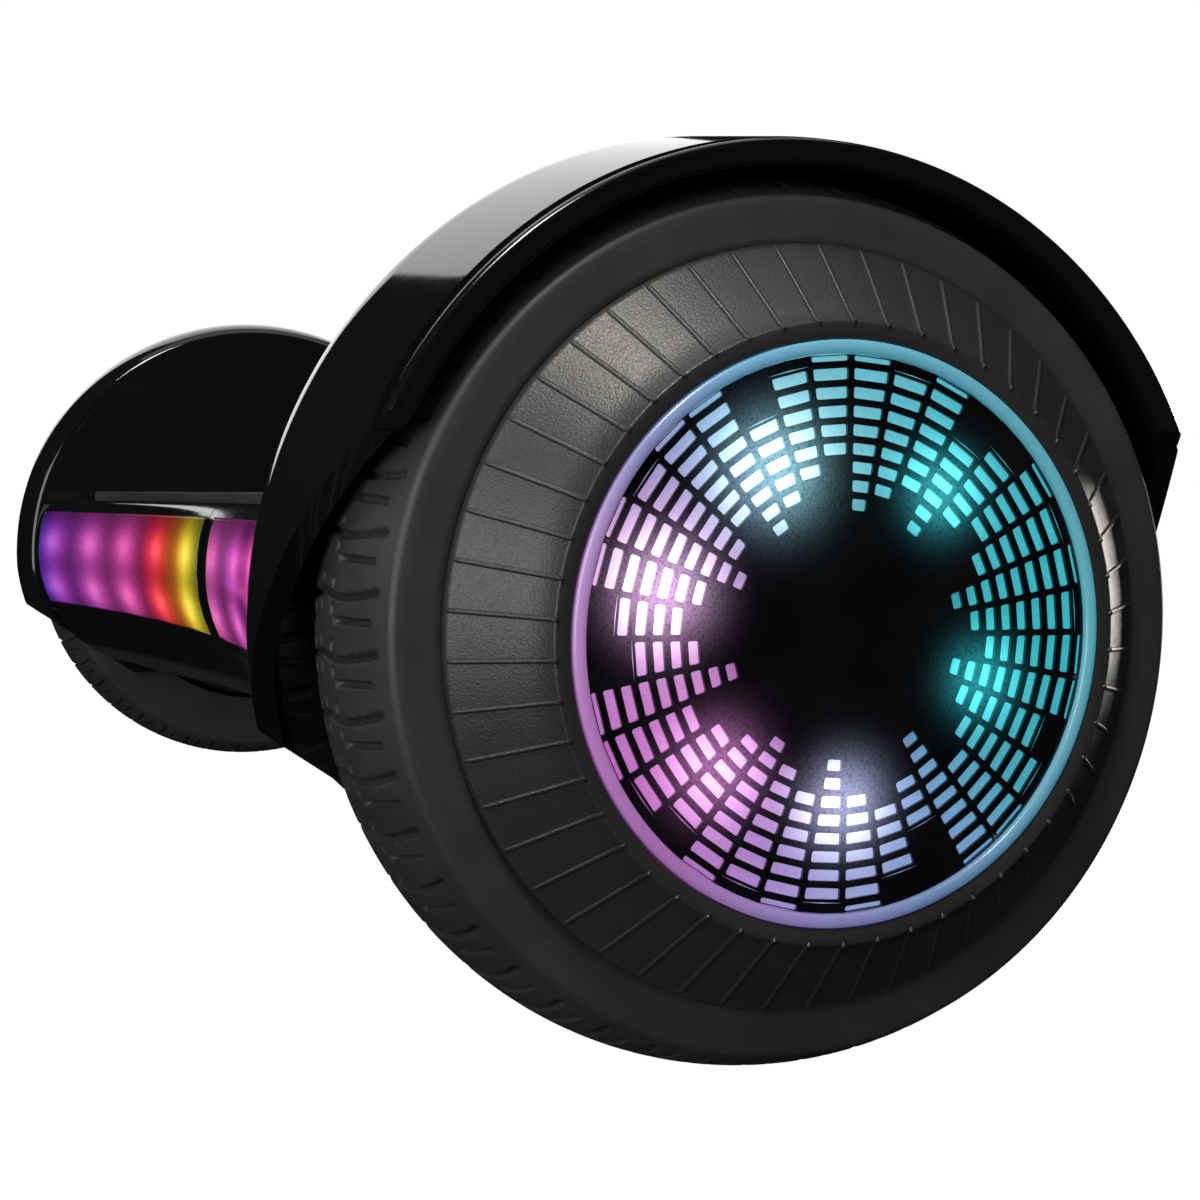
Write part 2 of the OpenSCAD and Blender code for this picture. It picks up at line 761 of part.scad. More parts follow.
module battery_bracket() {
  mid = battery_x0 + battery_len * 0.25;
  w = battery_half_w + strap_t;
  top = plate_top + battery_h;
  color(metal) translate([mid - strap_w / 2, 0, 0]) {
    block([0, -w, top], [strap_w, w, top + strap_t]);
    for (s = [-1, 1]) translate([0, s * (battery_half_w + strap_t / 2) - strap_t / 2, plate_top])
      cube([strap_w, strap_t, battery_h + 0.5]);
    for (s = [-1, 1]) translate([0, s * (battery_half_w + 4) - 4, plate_top])
      cube([strap_w, 8, strap_t]);
  }
}

module main_board() {
  x0 = battery_x0;
  z = plate_top + 6;
  color(pcb_green) {
    block([x0, -battery_half_w, z], [x0 + board_len, battery_half_w, z + pcb_t]);
    for (x = [x0 + 5, x0 + board_len - 5], s = [-1, 1])
      translate([x, s * (battery_half_w - 5), plate_top]) cylinder(r = 2.5, h = 6.5);
    for (i = [0 : 2]) translate([x0 + 18 + i * 20, 16, z + pcb_t - 0.5]) cylinder(r = 8, h = 20.5);
    for (i = [0 : 3]) translate([x0 + 12 + i * 16, -4, z + pcb_t - 0.5]) cube([11, 9, 8]);
    translate([x0 + 84, -10, z + pcb_t - 0.5]) cube([16, 16, 2.5]);
  }
}

module heat_sink() {
  x0 = battery_x0 + 6;
  z = plate_top + 6 + pcb_t;
  color(metal) {
    block([x0, -26, z], [x0 + 80, -20, z + 16]);
    for (i = [0 : 9]) translate([x0 + 1 + i * 8, -20.5, z + 2]) cube([2, 8, 14]);
  }
}

module speaker() {
  color([0.12, 0.12, 0.12]) at_panel() {
    panel_rod(speaker_r, -speaker_depth - 3, -speaker_depth);
    panel_rod(speaker_r - 2, -speaker_depth - 8, -speaker_depth - 2.5);
    panel_rod(speaker_r - 5, -speaker_depth - 13, -speaker_depth - 7.5);
  }
}

module control_panel() {
  pin_y = flap_pin[0];
  pin_z = flap_pin[1];
  lug_x = flap_knuckle_len / 2 + clear;
  color([0.06, 0.06, 0.065]) at_panel() {
    difference() {
      panel_plate(panel_len, panel_h, panel_round, -panel_depth, panel_proud);
      translate([port_x, 0, 0]) panel_rod(port_r, -panel_depth - over, panel_proud + over);
      translate([button_x, 0, 0]) panel_rod(button_r + clear, -panel_depth - over, panel_proud + over);
    }
    translate([port_x, 0, 0]) for (s = [-1, 1]) {
      translate([s * (lug_x + 1) - 1, panel_proud - over, pin_z - flap_knuckle_r])
        cube([2, pin_y - panel_proud + over, 2 * flap_knuckle_r]);
      translate([s * (lug_x + 1) - 1, pin_y, pin_z]) rotate([0, 90, 0]) cylinder(r = flap_knuckle_r, h = 2);
    }
    translate([port_x - lug_x - 1, pin_y, pin_z]) rotate([0, 90, 0])
      cylinder(r = flap_pin_r, h = 2 * lug_x + 2);
  }
}

module power_button() {
  color([0.75, 0.76, 0.78]) at_panel(button_x) difference() {
    panel_rod(button_r, -button_depth, button_proud);
    panel_rod(button_r - 3, button_proud - 0.5, button_proud + over);
  }
}

module charge_port() {
  color([0.6, 0.6, 0.62]) at_panel(port_x) {
    difference() {
      panel_rod(port_r, -socket_depth - 6, panel_proud);
      panel_rod(socket_r, panel_proud - socket_depth, panel_proud + over);
    }
    for (a = [90, 210, 330]) translate([2.8 * cos(a), 0, 2.8 * sin(a)])
      panel_rod(0.9, panel_proud - socket_depth - 0.5, panel_proud - socket_depth + 3.5);
  }
}

module charge_cap() {
  pin_y = flap_pin[0];
  pin_z = flap_pin[1];
  y0 = panel_proud + clear;
  half = flap_knuckle_len / 2;
  color(rubber_black) at_panel(port_x) difference() {
    union() {
      panel_rod(cap_flap_r, y0, y0 + flap_t);
      translate([-half, y0, pin_z]) cube([2 * half, flap_t, cap_flap_r]);
      translate([-half, pin_y, pin_z]) rotate([0, 90, 0]) cylinder(r = flap_knuckle_r, h = 2 * half);
    }
    translate([-half - over, pin_y, pin_z]) rotate([0, 90, 0])
      cylinder(r = flap_pin_r + slack, h = 2 * half + 2 * over);
  }
}

right_side() top_shell() panel_opening();  // right_top_shell
right_side() bottom_shell();  // right_bottom_shell
right_side() fender();  // right_fender
right_side() fender_trim();  // right_fender_trim
right_side() light_lens();  // right_light_lens
right_side() light_bar();  // right_light_bar
right_side() chassis(pivot_r);  // right_chassis
right_side() foot_pad();  // right_foot_pad
right_side() sensor_board();  // right_sensor_board
right_side() status_lens();  // right_status_lens
right_side() axle();  // right_axle
right_side() axle_clamp();  // right_axle_clamp
right_side() stator();  // right_stator
right_side() windings();  // right_windings
right_side() screws();  // right_screws
right_side() motor_shell();  // right_motor_shell
right_side() magnet_ring();  // right_magnet_ring
right_side() motor_cover();  // right_motor_cover
right_side() wheel_bearings();  // right_wheel_bearings
right_side() tyre();  // right_tyre
right_side() hub_cap();  // right_hub_cap
right_side() hub_lens();  // right_hub_lens
right_side() hub_mask();  // right_hub_mask
right_side() hub_led_board();  // right_hub_led_board
left_side() top_shell() { speaker_slots(); speaker_seat(); }  // left_top_shell
left_side() bottom_shell();  // left_bottom_shell
left_side() fender();  // left_fender
left_side() fender_trim();  // left_fender_trim
left_side() light_lens();  // left_light_lens
left_side() light_bar();  // left_light_bar
left_side() chassis(bush_r);  // left_chassis
left_side() foot_pad();  // left_foot_pad
left_side() sensor_board();  // left_sensor_board
left_side() status_lens();  // left_status_lens
left_side() axle();  // left_axle
left_side() axle_clamp();  // left_axle_clamp
left_side() stator();  // left_stator
left_side() windings();  // left_windings
left_side() screws();  // left_screws
left_side() motor_shell();  // left_motor_shell
left_side() magnet_ring();  // left_magnet_ring
left_side() motor_cover();  // left_motor_cover
left_side() wheel_bearings();  // left_wheel_bearings
left_side() tyre();  // left_tyre
left_side() hub_cap();  // left_hub_cap
left_side() hub_lens();  // left_hub_lens
left_side() hub_mask();  // left_hub_mask
left_side() hub_led_board();  // left_hub_led_board
right_side() pivot_shaft();
right_side() pivot_bushes();
right_side() pivot_ring();
right_side() battery_pack();
right_side() battery_bracket();
left_side() main_board();
left_side() heat_sink();
left_side() speaker();
right_side() control_panel();
right_side() power_button();
right_side() charge_port();
right_side() charge_cap();
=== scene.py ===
import math

import bmesh
import bpy
import numpy as np
from mathutils import Matrix, Vector
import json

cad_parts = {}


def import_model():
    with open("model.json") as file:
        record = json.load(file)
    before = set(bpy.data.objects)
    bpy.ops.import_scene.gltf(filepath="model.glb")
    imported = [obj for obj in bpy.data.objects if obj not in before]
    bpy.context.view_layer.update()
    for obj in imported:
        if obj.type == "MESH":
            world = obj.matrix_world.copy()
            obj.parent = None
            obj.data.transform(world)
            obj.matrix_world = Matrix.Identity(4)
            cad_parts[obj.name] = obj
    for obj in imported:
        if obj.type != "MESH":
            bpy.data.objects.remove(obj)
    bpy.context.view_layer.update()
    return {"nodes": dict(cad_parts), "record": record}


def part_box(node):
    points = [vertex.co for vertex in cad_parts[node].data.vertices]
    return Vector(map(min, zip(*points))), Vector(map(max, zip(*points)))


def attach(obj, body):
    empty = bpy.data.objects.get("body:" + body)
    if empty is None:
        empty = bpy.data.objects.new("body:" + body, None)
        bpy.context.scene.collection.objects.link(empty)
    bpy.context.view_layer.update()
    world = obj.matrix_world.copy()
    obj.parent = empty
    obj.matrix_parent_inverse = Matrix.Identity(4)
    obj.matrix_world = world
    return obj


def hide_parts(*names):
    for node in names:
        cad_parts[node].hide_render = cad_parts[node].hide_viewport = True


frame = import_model()

# Shapes are drawn in millimetres about the axle of the right wheel: x runs outward, -y is the front,
# and z is up from the axle. The left half is the mirror image.
MM = 0.001


def node_box(name):
    """Lowest and highest corner of a CAD node, in millimetres above the floor."""
    low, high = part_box(name)
    return np.array(low) / MM, np.array(high) / MM


# Sizes read from the CAD model
tyre_low, tyre_high = node_box("right_tyre")
shell_low, shell_high = node_box("right_top_shell")
light_low, light_high = node_box("right_light_lens")
fender_high = node_box("right_fender")[1]
trim_high = node_box("right_fender_trim")[1]
belly_low = node_box("right_bottom_shell")[0]
cap_high = node_box("right_hub_cap")[1]
lens_high = node_box("right_hub_lens")[1]
mask_low = node_box("right_hub_mask")[0]
pad_high = node_box("right_foot_pad")[1]

TYRE_R = (tyre_high[2] - tyre_low[2]) / 2
AXLE_Z = (tyre_high[2] + tyre_low[2]) / 2
TYRE_X0, TYRE_X1 = tyre_low[0], tyre_high[0]
TYRE_SIDE_R = 82.3
BODY_X0, BODY_X = shell_low[0], shell_high[0]
FLARE = shell_high[1]
DECK_Z = shell_high[2] - AXLE_Z
BELLY_Z = belly_low[2] - AXLE_Z
RIM_X = trim_high[0]
CROWN_R = fender_high[2] - AXLE_Z
RIM_R = trim_high[2] - AXLE_Z
FACE_X = cap_high[0]
LENS_R = lens_high[1]
LENS_TOP = lens_high[0]
MASK_X = mask_low[0]

# Body section, as in the CAD source
WAIST = 66
TOP_INSET, BELLY_INSET = 7, 58
SEAM_Z = -22.5
WALL, DECK_T = 3, 4
WAIST_R = (BODY_X**2 + (FLARE - WAIST) ** 2) / (2 * (FLARE - WAIST))
WAIST_AXIS = WAIST + WAIST_R
PAD_X0, PAD_X1 = 30, pad_high[0]
PAD_MARGIN, PAD_RECESS, PAD_T = 12, 2, 3.8
PAD_Z0, PAD_Z1 = pad_high[2] - AXLE_Z - PAD_T, pad_high[2] - AXLE_Z
LIGHT_Z0, LIGHT_Z1 = -19.5, 18
LIGHT_X0, LIGHT_X1 = light_low[0] - 0.3, light_high[0] + 0.3
NOTCH_R = 20
STATUS_X0, STATUS_X1, STATUS_HALF = 12, 22, 13

# Openings in the rear wall: the panel on the right half, the speaker's slots on the left half
PANEL_X0, PANEL_X1 = 68, 132
REAR_Z0, REAR_Z1 = -14, 11
SPEAKER_X, SLOT_STEP, SLOT_HALF = 100, 5, 1.3
WALL_REACH = 14

# Wheel arch, as in the CAD source
ARCH_T, ARCH_EDGE, ARCH_WALL = 4.5, 6, 3.5
CROWN_X = RIM_X - 40
TRIM_X0 = RIM_X - 4
SWEEP_R = 170
SWEEP_LOW, SWEEP_HIGH = np.array([BODY_X + ARCH_WALL + 12.5, -9]), np.array([RIM_X, 40])
SKIRT_TOP, SKIRT_LOW = (FLARE + 3.5, -20.5), (FLARE - 40.5, -50)
AXLE_HOLE_R = 9

# Hub cap
CAP_R, FACE_R = 73, 57.8
RIB_COUNT = 50
RING_R0 = LENS_R - 2.5


# ---------------------------------------------------------------- mesh building

class Shape:
    """Points and faces of one piece, in millimetres about the axle."""

    def __init__(self):
        self.points = []
        self.faces = []

    def add(self, points):
        start = len(self.points)
        self.points.extend([tuple(p) for p in points])
        return start

    def grid(self, rows, wrap_rows=False, wrap_cols=False):
        """Adds a surface through rows of points and returns the first index."""
        rows = np.asarray(rows, float)
        n, m = rows.shape[:2]
        start = self.add(rows.reshape(-1, 3))
        for i in range(n if wrap_rows else n - 1):
            for j in range(m if wrap_cols else m - 1):
                a, b = i * m + j, (i + 1) % n * m + j
                c, d = (i + 1) % n * m + (j + 1) % m, i * m + (j + 1) % m
                self.faces.append(tuple(start + k for k in (a, b, c, d)))
        return start

    def sheet(self, outer, inner, keep=None):
        """Adds a closed sheet between two matching grids, over the kept cells only."""
        outer, inner = np.asarray(outer, float), np.asarray(inner, float)
        n, m = outer.shape[:2]
        start = self.add(outer.reshape(-1, 3))
        self.add(inner.reshape(-1, 3))
        back = n * m
        rim = set()
        for i in range(n - 1):
            for j in range(m - 1):
                if keep is not None and not keep[i][j]:
                    continue
                cell = [start + k for k in (i * m + j, i * m + m + j, i * m + m + j + 1, i * m + j + 1)]
                self.faces.append(tuple(cell))
                self.faces.append(tuple(k + back for k in reversed(cell)))
                for a, b in zip(cell, cell[1:] + cell[:1]):
                    if (b, a) in rim:
                        rim.discard((b, a))
                    else:
                        rim.add((a, b))
        for a, b in sorted(rim):
            self.faces.append((b, a, a + back, b + back))

    def lathe(self, profile, steps, start=0.0, sweep=360.0):
        """Turns [x, r] points about the X axis; angles are in degrees from straight up."""
        whole = sweep >= 360
        count = steps if whole else steps + 1
        angles = np.radians(start + sweep * np.arange(count) / steps)
        rows = [[(x, r * math.sin(a), r * math.cos(a)) for a in angles] for x, r in profile]
        self.grid(rows, wrap_cols=whole)


def piece(name, side, shape, body, slot, replaces, sharp=35, bevel=0.0, material=None):
    """Makes an object of a shape on one side and rides it on a body; its slot gives the material."""
    points = np.array(shape.points, float)
    if side == "left":
        points[:, 0] *= -1
    points[:, 2] += AXLE_Z
    mesh = bpy.data.meshes.new(name)
    mesh.from_pydata((points * MM).tolist(), [], shape.faces)
    work = bmesh.new()
    work.from_mesh(mesh)
    bmesh.ops.remove_doubles(work, verts=work.verts, dist=0.002 * MM)
    bmesh.ops.recalc_face_normals(work, faces=work.faces)
    work.to_mesh(mesh)
    work.free()
    mesh.shade_smooth()
    mesh.set_sharp_from_angle(angle=math.radians(sharp))
    made = bpy.data.objects.new(name, mesh)
    bpy.context.scene.collection.objects.link(made)
    made.data.materials.append(material or MATERIALS[slot])
    if bevel:
        edge = made.modifiers.new("edge", "BEVEL")
        edge.width = bevel * MM
        edge.segments = 3
        edge.limit_method = "ANGLE"
        edge.angle_limit = math.radians(38)
        edge.harden_normals = True
    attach(made, body)
    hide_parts(*replaces)


def arc(cx, cy, r, start, end, steps):
    """Points of an arc in the plane, angles in degrees."""
    angles = np.radians(np.linspace(start, end, steps + 1))
    return [(cx + r * math.cos(a), cy + r * math.sin(a)) for a in angles]


# ---------------------------------------------------------------- materials

class Nodes:
    """A short way to write a node tree."""

    def __init__(self, name):
        self.material = bpy.data.materials.new(name)
        self.material.use_nodes = True
        self.tree = self.material.node_tree
        self.shader = self.tree.nodes["Principled BSDF"]
        self.place = self.tree.nodes.new("ShaderNodeTexCoord").outputs["Object"]

    def node(self, kind, **values):
        made = self.tree.nodes.new(kind)
        for key, value in values.items():
            setattr(made, key, value)
        return made

    def put(self, value, socket):
        if isinstance(value, bpy.types.NodeSocket):
            self.tree.links.new(value, socket)
        else:
            socket.default_value = value

    def math(self, operation, a, b=0.0, clamp=False):
        made = self.node("ShaderNodeMath", operation=operation, use_clamp=clamp)
        self.put(a, made.inputs[0])
        self.put(b, made.inputs[1])
        return made.outputs[0]

    def noise(self, scale, detail=3.0, rough=0.5, vector=None, distortion=0.0):
        made = self.node("ShaderNodeTexNoise")
        self.put(vector or self.place, made.inputs["Vector"])
        made.inputs["Scale"].default_value = scale
        made.inputs["Detail"].default_value = detail
        made.inputs["Roughness"].default_value = rough
        made.inputs["Distortion"].default_value = distortion
        return made.outputs["Fac"]

    def voronoi(self, scale, feature="F1", output="Distance", vector=None):
        made = self.node("ShaderNodeTexVoronoi", feature=feature)
        self.put(vector or self.place, made.inputs["Vector"])
        made.inputs["Scale"].default_value = scale
        return made.outputs[output]

    def spread(self, value, low, high, to_low=0.0, to_high=1.0):
        made = self.node("ShaderNodeMapRange", clamp=True)
        for socket, v in zip(made.inputs, (value, low, high, to_low, to_high)):
            self.put(v, socket)
        return made.outputs[0]

    def ramp(self, value, stops, interpolation="LINEAR"):
        made = self.node("ShaderNodeValToRGB")
        made.color_ramp.interpolation = interpolation
        bar = made.color_ramp.elements
        while len(bar) < len(stops):
            bar.new(1.0)
        for element, (position, colour) in zip(bar, stops):
            element.position = position
            element.color = (*colour, 1)
        self.put(value, made.inputs[0])
        return made.outputs["Color"]

    def mix(self, factor, a, b, blend="MIX"):
        made = self.node("ShaderNodeMix", data_type="RGBA", blend_type=blend)
        self.put(factor, made.inputs[0])
        self.put(a if isinstance(a, bpy.types.NodeSocket) else (*a, 1), made.inputs[6])
        self.put(b if isinstance(b, bpy.types.NodeSocket) else (*b, 1), made.inputs[7])
        return made.outputs[2]

    def split(self, vector=None):
        made = self.node("ShaderNodeSeparateXYZ")
        self.put(vector or self.place, made.inputs[0])
        return made.outputs

    def bump(self, height, strength, distance):
        made = self.node("ShaderNodeBump")
        made.inputs["Strength"].default_value = strength
        made.inputs["Distance"].default_value = distance
        self.put(height, made.inputs["Height"])
        self.put(made.outputs[0], self.shader.inputs["Normal"])

    def set(self, **values):
        for key, value in values.items():
            socket = self.shader.inputs[key.replace("_", " ")]
            if isinstance(value, tuple) and len(value) == 3:
                value = (*value, 1)
            self.put(value, socket)


def gloss_black(name, rough=0.045):
    """Polished black plastic: faint colour drift, hairline swirls and soft orange peel."""
    m = Nodes(name)
    drift = m.noise(9, 2)
    m.set(Base_Color=m.ramp(drift, [(0.3, (0.0035, 0.0035, 0.004)), (0.7, (0.006, 0.006, 0.0068))]))
    swirl = m.noise(420, 2, 0.6, distortion=2.0)
    worn = m.math("ADD", swirl, m.math("MULTIPLY", drift, 0.3))
    m.set(Roughness=m.spread(worn, 0.45, 0.95, rough, rough + 0.05), IOR=1.5)
    m.bump(m.noise(60, 1), 0.04, 0.0004)
    return m.material


def tyre_rubber():
    """Moulded rubber: dark, slightly dusty, with a fine grain."""
    m = Nodes("tyre_rubber")
    dust = m.noise(38, 5, 0.65)
    m.set(Base_Color=m.ramp(dust, [(0.3, (0.023, 0.0228, 0.0225)), (0.75, (0.032, 0.0315, 0.031))]))
    grain = m.noise(2600, 2)
    m.set(Roughness=m.spread(dust, 0.3, 0.8, 0.47, 0.6), Specular_IOR_Level=0.5)
    m.bump(grain, 0.10, 0.0003)
    return m.material


def cap_plastic():
    """Satin dark plastic with a leather-like grain."""
    m = Nodes("cap_plastic")
    drift = m.noise(26, 4)
    m.set(Base_Color=m.ramp(drift, [(0.3, (0.018, 0.0172, 0.0165)), (0.7, (0.025, 0.0238, 0.0225))]))
    cells = m.voronoi(2300, "SMOOTH_F1")
    grain = m.math("ADD", m.math("MULTIPLY", cells, 0.8), m.math("MULTIPLY", m.noise(3300, 2), 0.5))
    m.set(Roughness=m.spread(grain, 0.3, 0.9, 0.34, 0.5), Specular_IOR_Level=0.55)
    m.bump(grain, 0.26, 0.00022)
    return m.material


def satin_plastic(name, colour, rough=0.42, grain_scale=1800):
    """Moulded satin plastic."""
    m = Nodes(name)
    drift = m.noise(30, 3)
    darker = tuple(c * 0.8 for c in colour)
    m.set(Base_Color=m.ramp(drift, [(0.3, darker), (0.7, colour)]))
    grain = m.noise(grain_scale, 2)
    m.set(Roughness=m.spread(grain, 0.3, 0.7, rough - 0.05, rough + 0.08))
    m.bump(grain, 0.12, 0.0002)
    return m.material


def grip_rubber():
    """Soft rubber of the foot pads."""
    m = Nodes("grip_rubber")
    wear = m.noise(22, 5, 0.6)
    m.set(Base_Color=m.ramp(wear, [(0.3, (0.017, 0.017, 0.0175)), (0.75, (0.03, 0.0295, 0.029))]))
    m.set(Roughness=m.spread(wear, 0.3, 0.75, 0.56, 0.72), Specular_IOR_Level=0.4)
    m.bump(m.noise(2200, 2), 0.22, 0.0003)
    return m.material


def metal(name, colour, rough, stretch=(1, 1, 1), grain=900):
    """Machined or cast metal with a directional grain."""
    m = Nodes(name)
    mapping = m.node("ShaderNodeMapping")
    mapping.inputs["Scale"].default_value = stretch
    m.put(m.place, mapping.inputs["Vector"])
    lines = m.noise(grain, 3, 0.6, vector=mapping.outputs[0])
    darker = tuple(c * 0.82 for c in colour)
    m.set(Base_Color=m.ramp(lines, [(0.3, darker), (0.7, colour)]), Metallic=1.0)
    m.set(Roughness=m.spread(lines, 0.3, 0.7, rough - 0.06, rough + 0.1))
    m.bump(lines, 0.12, 0.0002)
    return m.material


def laminations():
    """Stacked steel sheets of the stator core, edge on."""
    m = Nodes("laminations")
    x = m.split()[0]
    sheet_t = 0.7 * MM
    sheets = m.math("FRACT", m.math("MULTIPLY", x, 1 / sheet_t))
    stops = [(0.0, (0.05, 0.05, 0.052)), (0.2, (0.2, 0.2, 0.21)), (0.9, (0.24, 0.24, 0.25))]
    m.set(Base_Color=m.ramp(sheets, stops))
    m.set(Metallic=0.9, Roughness=m.spread(m.noise(400, 3), 0.3, 0.7, 0.35, 0.55))
    m.bump(sheets, 0.3, 0.0003)
    return m.material


def copper_wire():
    """Enamelled copper wound in fine turns, with painted shade darkening the creases between turns."""
    m = Nodes("copper_wire")
    x = m.split()[0]
    wire = 0.9 * MM
    turns = m.math("ABSOLUTE", m.math("SINE", m.math("MULTIPLY", x, math.pi / wire)))
    # Base colour runs from bright at each wire's crest to dark in the creases between turns: painted shade
    m.set(Base_Color=m.ramp(turns, [(0.0, (0.16, 0.05, 0.02)), (0.6, (0.62, 0.24, 0.09))]), Metallic=0.9)
    m.set(Roughness=m.spread(m.noise(700, 2), 0.3, 0.7, 0.22, 0.36))
    m.bump(turns, 0.6, 0.0004)
    return m.material


def circuit_board():
    """Green solder mask with faint copper tracks."""
    m = Nodes("circuit_board")
    tracks = m.voronoi(260, "DISTANCE_TO_EDGE")
    edge = m.spread(tracks, 0.03, 0.07)
    m.set(Base_Color=m.mix(edge, (0.04, 0.17, 0.06), (0.012, 0.085, 0.032)))
    m.set(Roughness=m.spread(m.noise(800, 2), 0.3, 0.7, 0.28, 0.4))
    m.bump(edge, 0.2, 0.0001)
    return m.material


def shrink_sleeve():
    """Blue shrink sleeve over the rows of cells."""
    m = Nodes("shrink_sleeve")
    x = m.split()[0]
    cell = 18.5 * MM
    cells = m.math("ABSOLUTE", m.math("SINE", m.math("MULTIPLY", x, math.pi / cell)))
    m.set(Base_Color=m.ramp(m.noise(40, 4), [(0.3, (0.008, 0.045, 0.16)), (0.7, (0.014, 0.07, 0.23))]))
    m.set(Roughness=m.spread(m.noise(260, 3), 0.3, 0.7, 0.2, 0.34), Coat_Weight=0.4)
    m.bump(m.math("POWER", cells, 0.6), 0.5, 0.002)
    return m.material


# Bright spots behind the hub's windows: degrees clockwise from the top seen from outside, radius in mm,
# strength, spread in mm and tint
HOT_SPOTS = (
    (36, 33, 1.5, 7.5, (0.15, 0.95, 1.0)),
    (107, 30, 1.3, 7.5, (0.1, 0.9, 0.95)),
    (180, 31, 2.4, 8, (0.80, 0.84, 1.0)),
    (228, 35, 1.5, 8.5, (1.0, 0.55, 0.95)),
    (283, 38, 3.0, 9, (1.0, 0.78, 1.0)),
    (333, 34, 2.6, 9.5, (0.62, 0.95, 1.0)),
)


def hub_angle(m):
    """Turn clockwise from the top of the right wheel (0 to 1), then radius, y and height off the axle."""
    x, y, z = m.split()
    up = m.math("SUBTRACT", z, AXLE_Z * MM)
    turn = m.math("DIVIDE", m.math("ARCTAN2", y, up), 2 * math.pi)
    turn = m.math("FRACT", m.math("ADD", turn, 1.0))
    radius = m.math("SQRT", m.math("ADD", m.math("MULTIPLY", y, y), m.math("MULTIPLY", up, up)))
    return turn, radius, y, up


def spot_glow(m, y, up, widen=1.0):
    """Sum of the bright spots' colours."""
    total = None
    for angle, r, strength, size, tint in HOT_SPOTS:
        cy, cz = r * MM * math.sin(math.radians(angle)), r * MM * math.cos(math.radians(angle))
        dy, dz = m.math("SUBTRACT", y, cy), m.math("SUBTRACT", up, cz)
        far = m.math("ADD", m.math("MULTIPLY", dy, dy), m.math("MULTIPLY", dz, dz))
        fall = m.math("EXPONENT", m.math("MULTIPLY", far, -1 / (size * widen * MM) ** 2))
        lit = m.mix(fall, (0, 0, 0), tuple(strength * c for c in tint))
        total = lit if total is None else m.mix(1.0, total, lit, "ADD")
    return total


def hub_colour(m, turn):
    """Colour of the equaliser's light round the wheel."""
    stops = [
        (0.00, (0.16, 0.55, 0.66)), (0.08, (0.07, 0.50, 0.60)), (0.25, (0.03, 0.46, 0.52)),
        (0.35, (0.06, 0.40, 0.52)), (0.42, (0.20, 0.36, 0.66)), (0.50, (0.33, 0.36, 0.70)),
        (0.56, (0.42, 0.24, 0.62)), (0.65, (0.52, 0.13, 0.52)), (0.77, (0.58, 0.26, 0.62)),
        (0.84, (0.46, 0.30, 0.62)), (0.90, (0.24, 0.42, 0.70)), (0.95, (0.20, 0.55, 0.70)),
        (1.00, (0.16, 0.55, 0.66)),
    ]
    return m.ramp(turn, stops)


def window_glow():
    """Diffuser behind the hub's windows."""
    m = Nodes("window_glow")
    turn, radius, y, up = hub_angle(m)
    base = hub_colour(m, turn)
    speckle = m.spread(m.noise(1500, 2), 0.3, 0.7, 0.86, 1.06)
    dim = m.math("MULTIPLY", m.spread(radius, 18 * MM, 30 * MM, 0.45, 1.0), speckle)
    lit = m.mix(1.0, m.mix(dim, (0, 0, 0), base), spot_glow(m, y, up), "ADD")
    m.set(Base_Color=m.mix(0.8, base, (0.02, 0.02, 0.02)), Roughness=0.35)
    m.set(Emission_Color=lit, Emission_Strength=0.85)
    return m.material


def mask_black():
    """Black printed mask with light spilling over it near the bright spots."""
    m = Nodes("mask_black")
    turn, _, y, up = hub_angle(m)
    speckle = m.spread(m.noise(2100, 2), 0.3, 0.7, 0.5, 1.4)
    spill = m.mix(speckle, (0, 0, 0), spot_glow(m, y, up, 0.85))
    spill = m.mix(0.6, spill, hub_colour(m, turn), "MULTIPLY")
    m.set(Base_Color=m.ramp(m.noise(60, 2), [(0.3, (0.002, 0.002, 0.0025)), (0.7, (0.004, 0.004, 0.005))]))
    m.set(Roughness=m.spread(m.noise(300, 2), 0.3, 0.7, 0.14, 0.2))
    m.set(Emission_Color=spill, Emission_Strength=0.42)
    return m.material


def ring_glow():
    """Frosted ring lit from behind, its colour drifting round the wheel."""
    m = Nodes("ring_glow")
    turn = hub_angle(m)[0]
    stops = [
        (0.00, (0.05, 0.36, 0.50)), (0.25, (0.02, 0.34, 0.42)), (0.36, (0.03, 0.26, 0.40)),
        (0.44, (0.06, 0.16, 0.36)), (0.52, (0.20, 0.16, 0.46)), (0.62, (0.34, 0.08, 0.40)),
        (0.72, (0.40, 0.12, 0.46)), (0.80, (0.38, 0.20, 0.52)), (0.86, (0.16, 0.18, 0.44)),
        (0.93, (0.07, 0.30, 0.50)), (1.00, (0.05, 0.36, 0.50)),
    ]
    colour = m.ramp(turn, stops)
    cloudy = m.spread(m.noise(500, 3), 0.3, 0.7, 0.85, 1.1)
    m.set(Base_Color=m.mix(0.5, colour, (0.2, 0.2, 0.2)), Roughness=0.3, Coat_Weight=0.3)
    m.set(Emission_Color=m.mix(cloudy, (0, 0, 0), colour), Emission_Strength=0.42)
    return m.material


# Front light: half length of the colours' run and each colour's place from the middle, in mm
LIGHT_SPAN = 228
LIGHT_COLOURS = (
    (-228, (0.06, 0.03, 0.55)), (-208, (0.32, 0.04, 0.55)), (-160, (0.58, 0.07, 0.46)),
    (-105, (0.72, 0.07, 0.38)), (-84, (1.0, 0.03, 0.10)), (-62, (1.0, 0.06, 0.03)),
    (-44, (1.0, 0.32, 0.02)), (-30, (1.0, 0.82, 0.03)), (-6, (0.52, 0.50, 0.03)),
    (6, (0.85, 0.20, 0.40)), (16, (0.68, 0.09, 0.46)), (90, (0.55, 0.05, 0.46)),
    (150, (0.42, 0.07, 0.75)), (228, (0.10, 0.05, 0.62)),
)

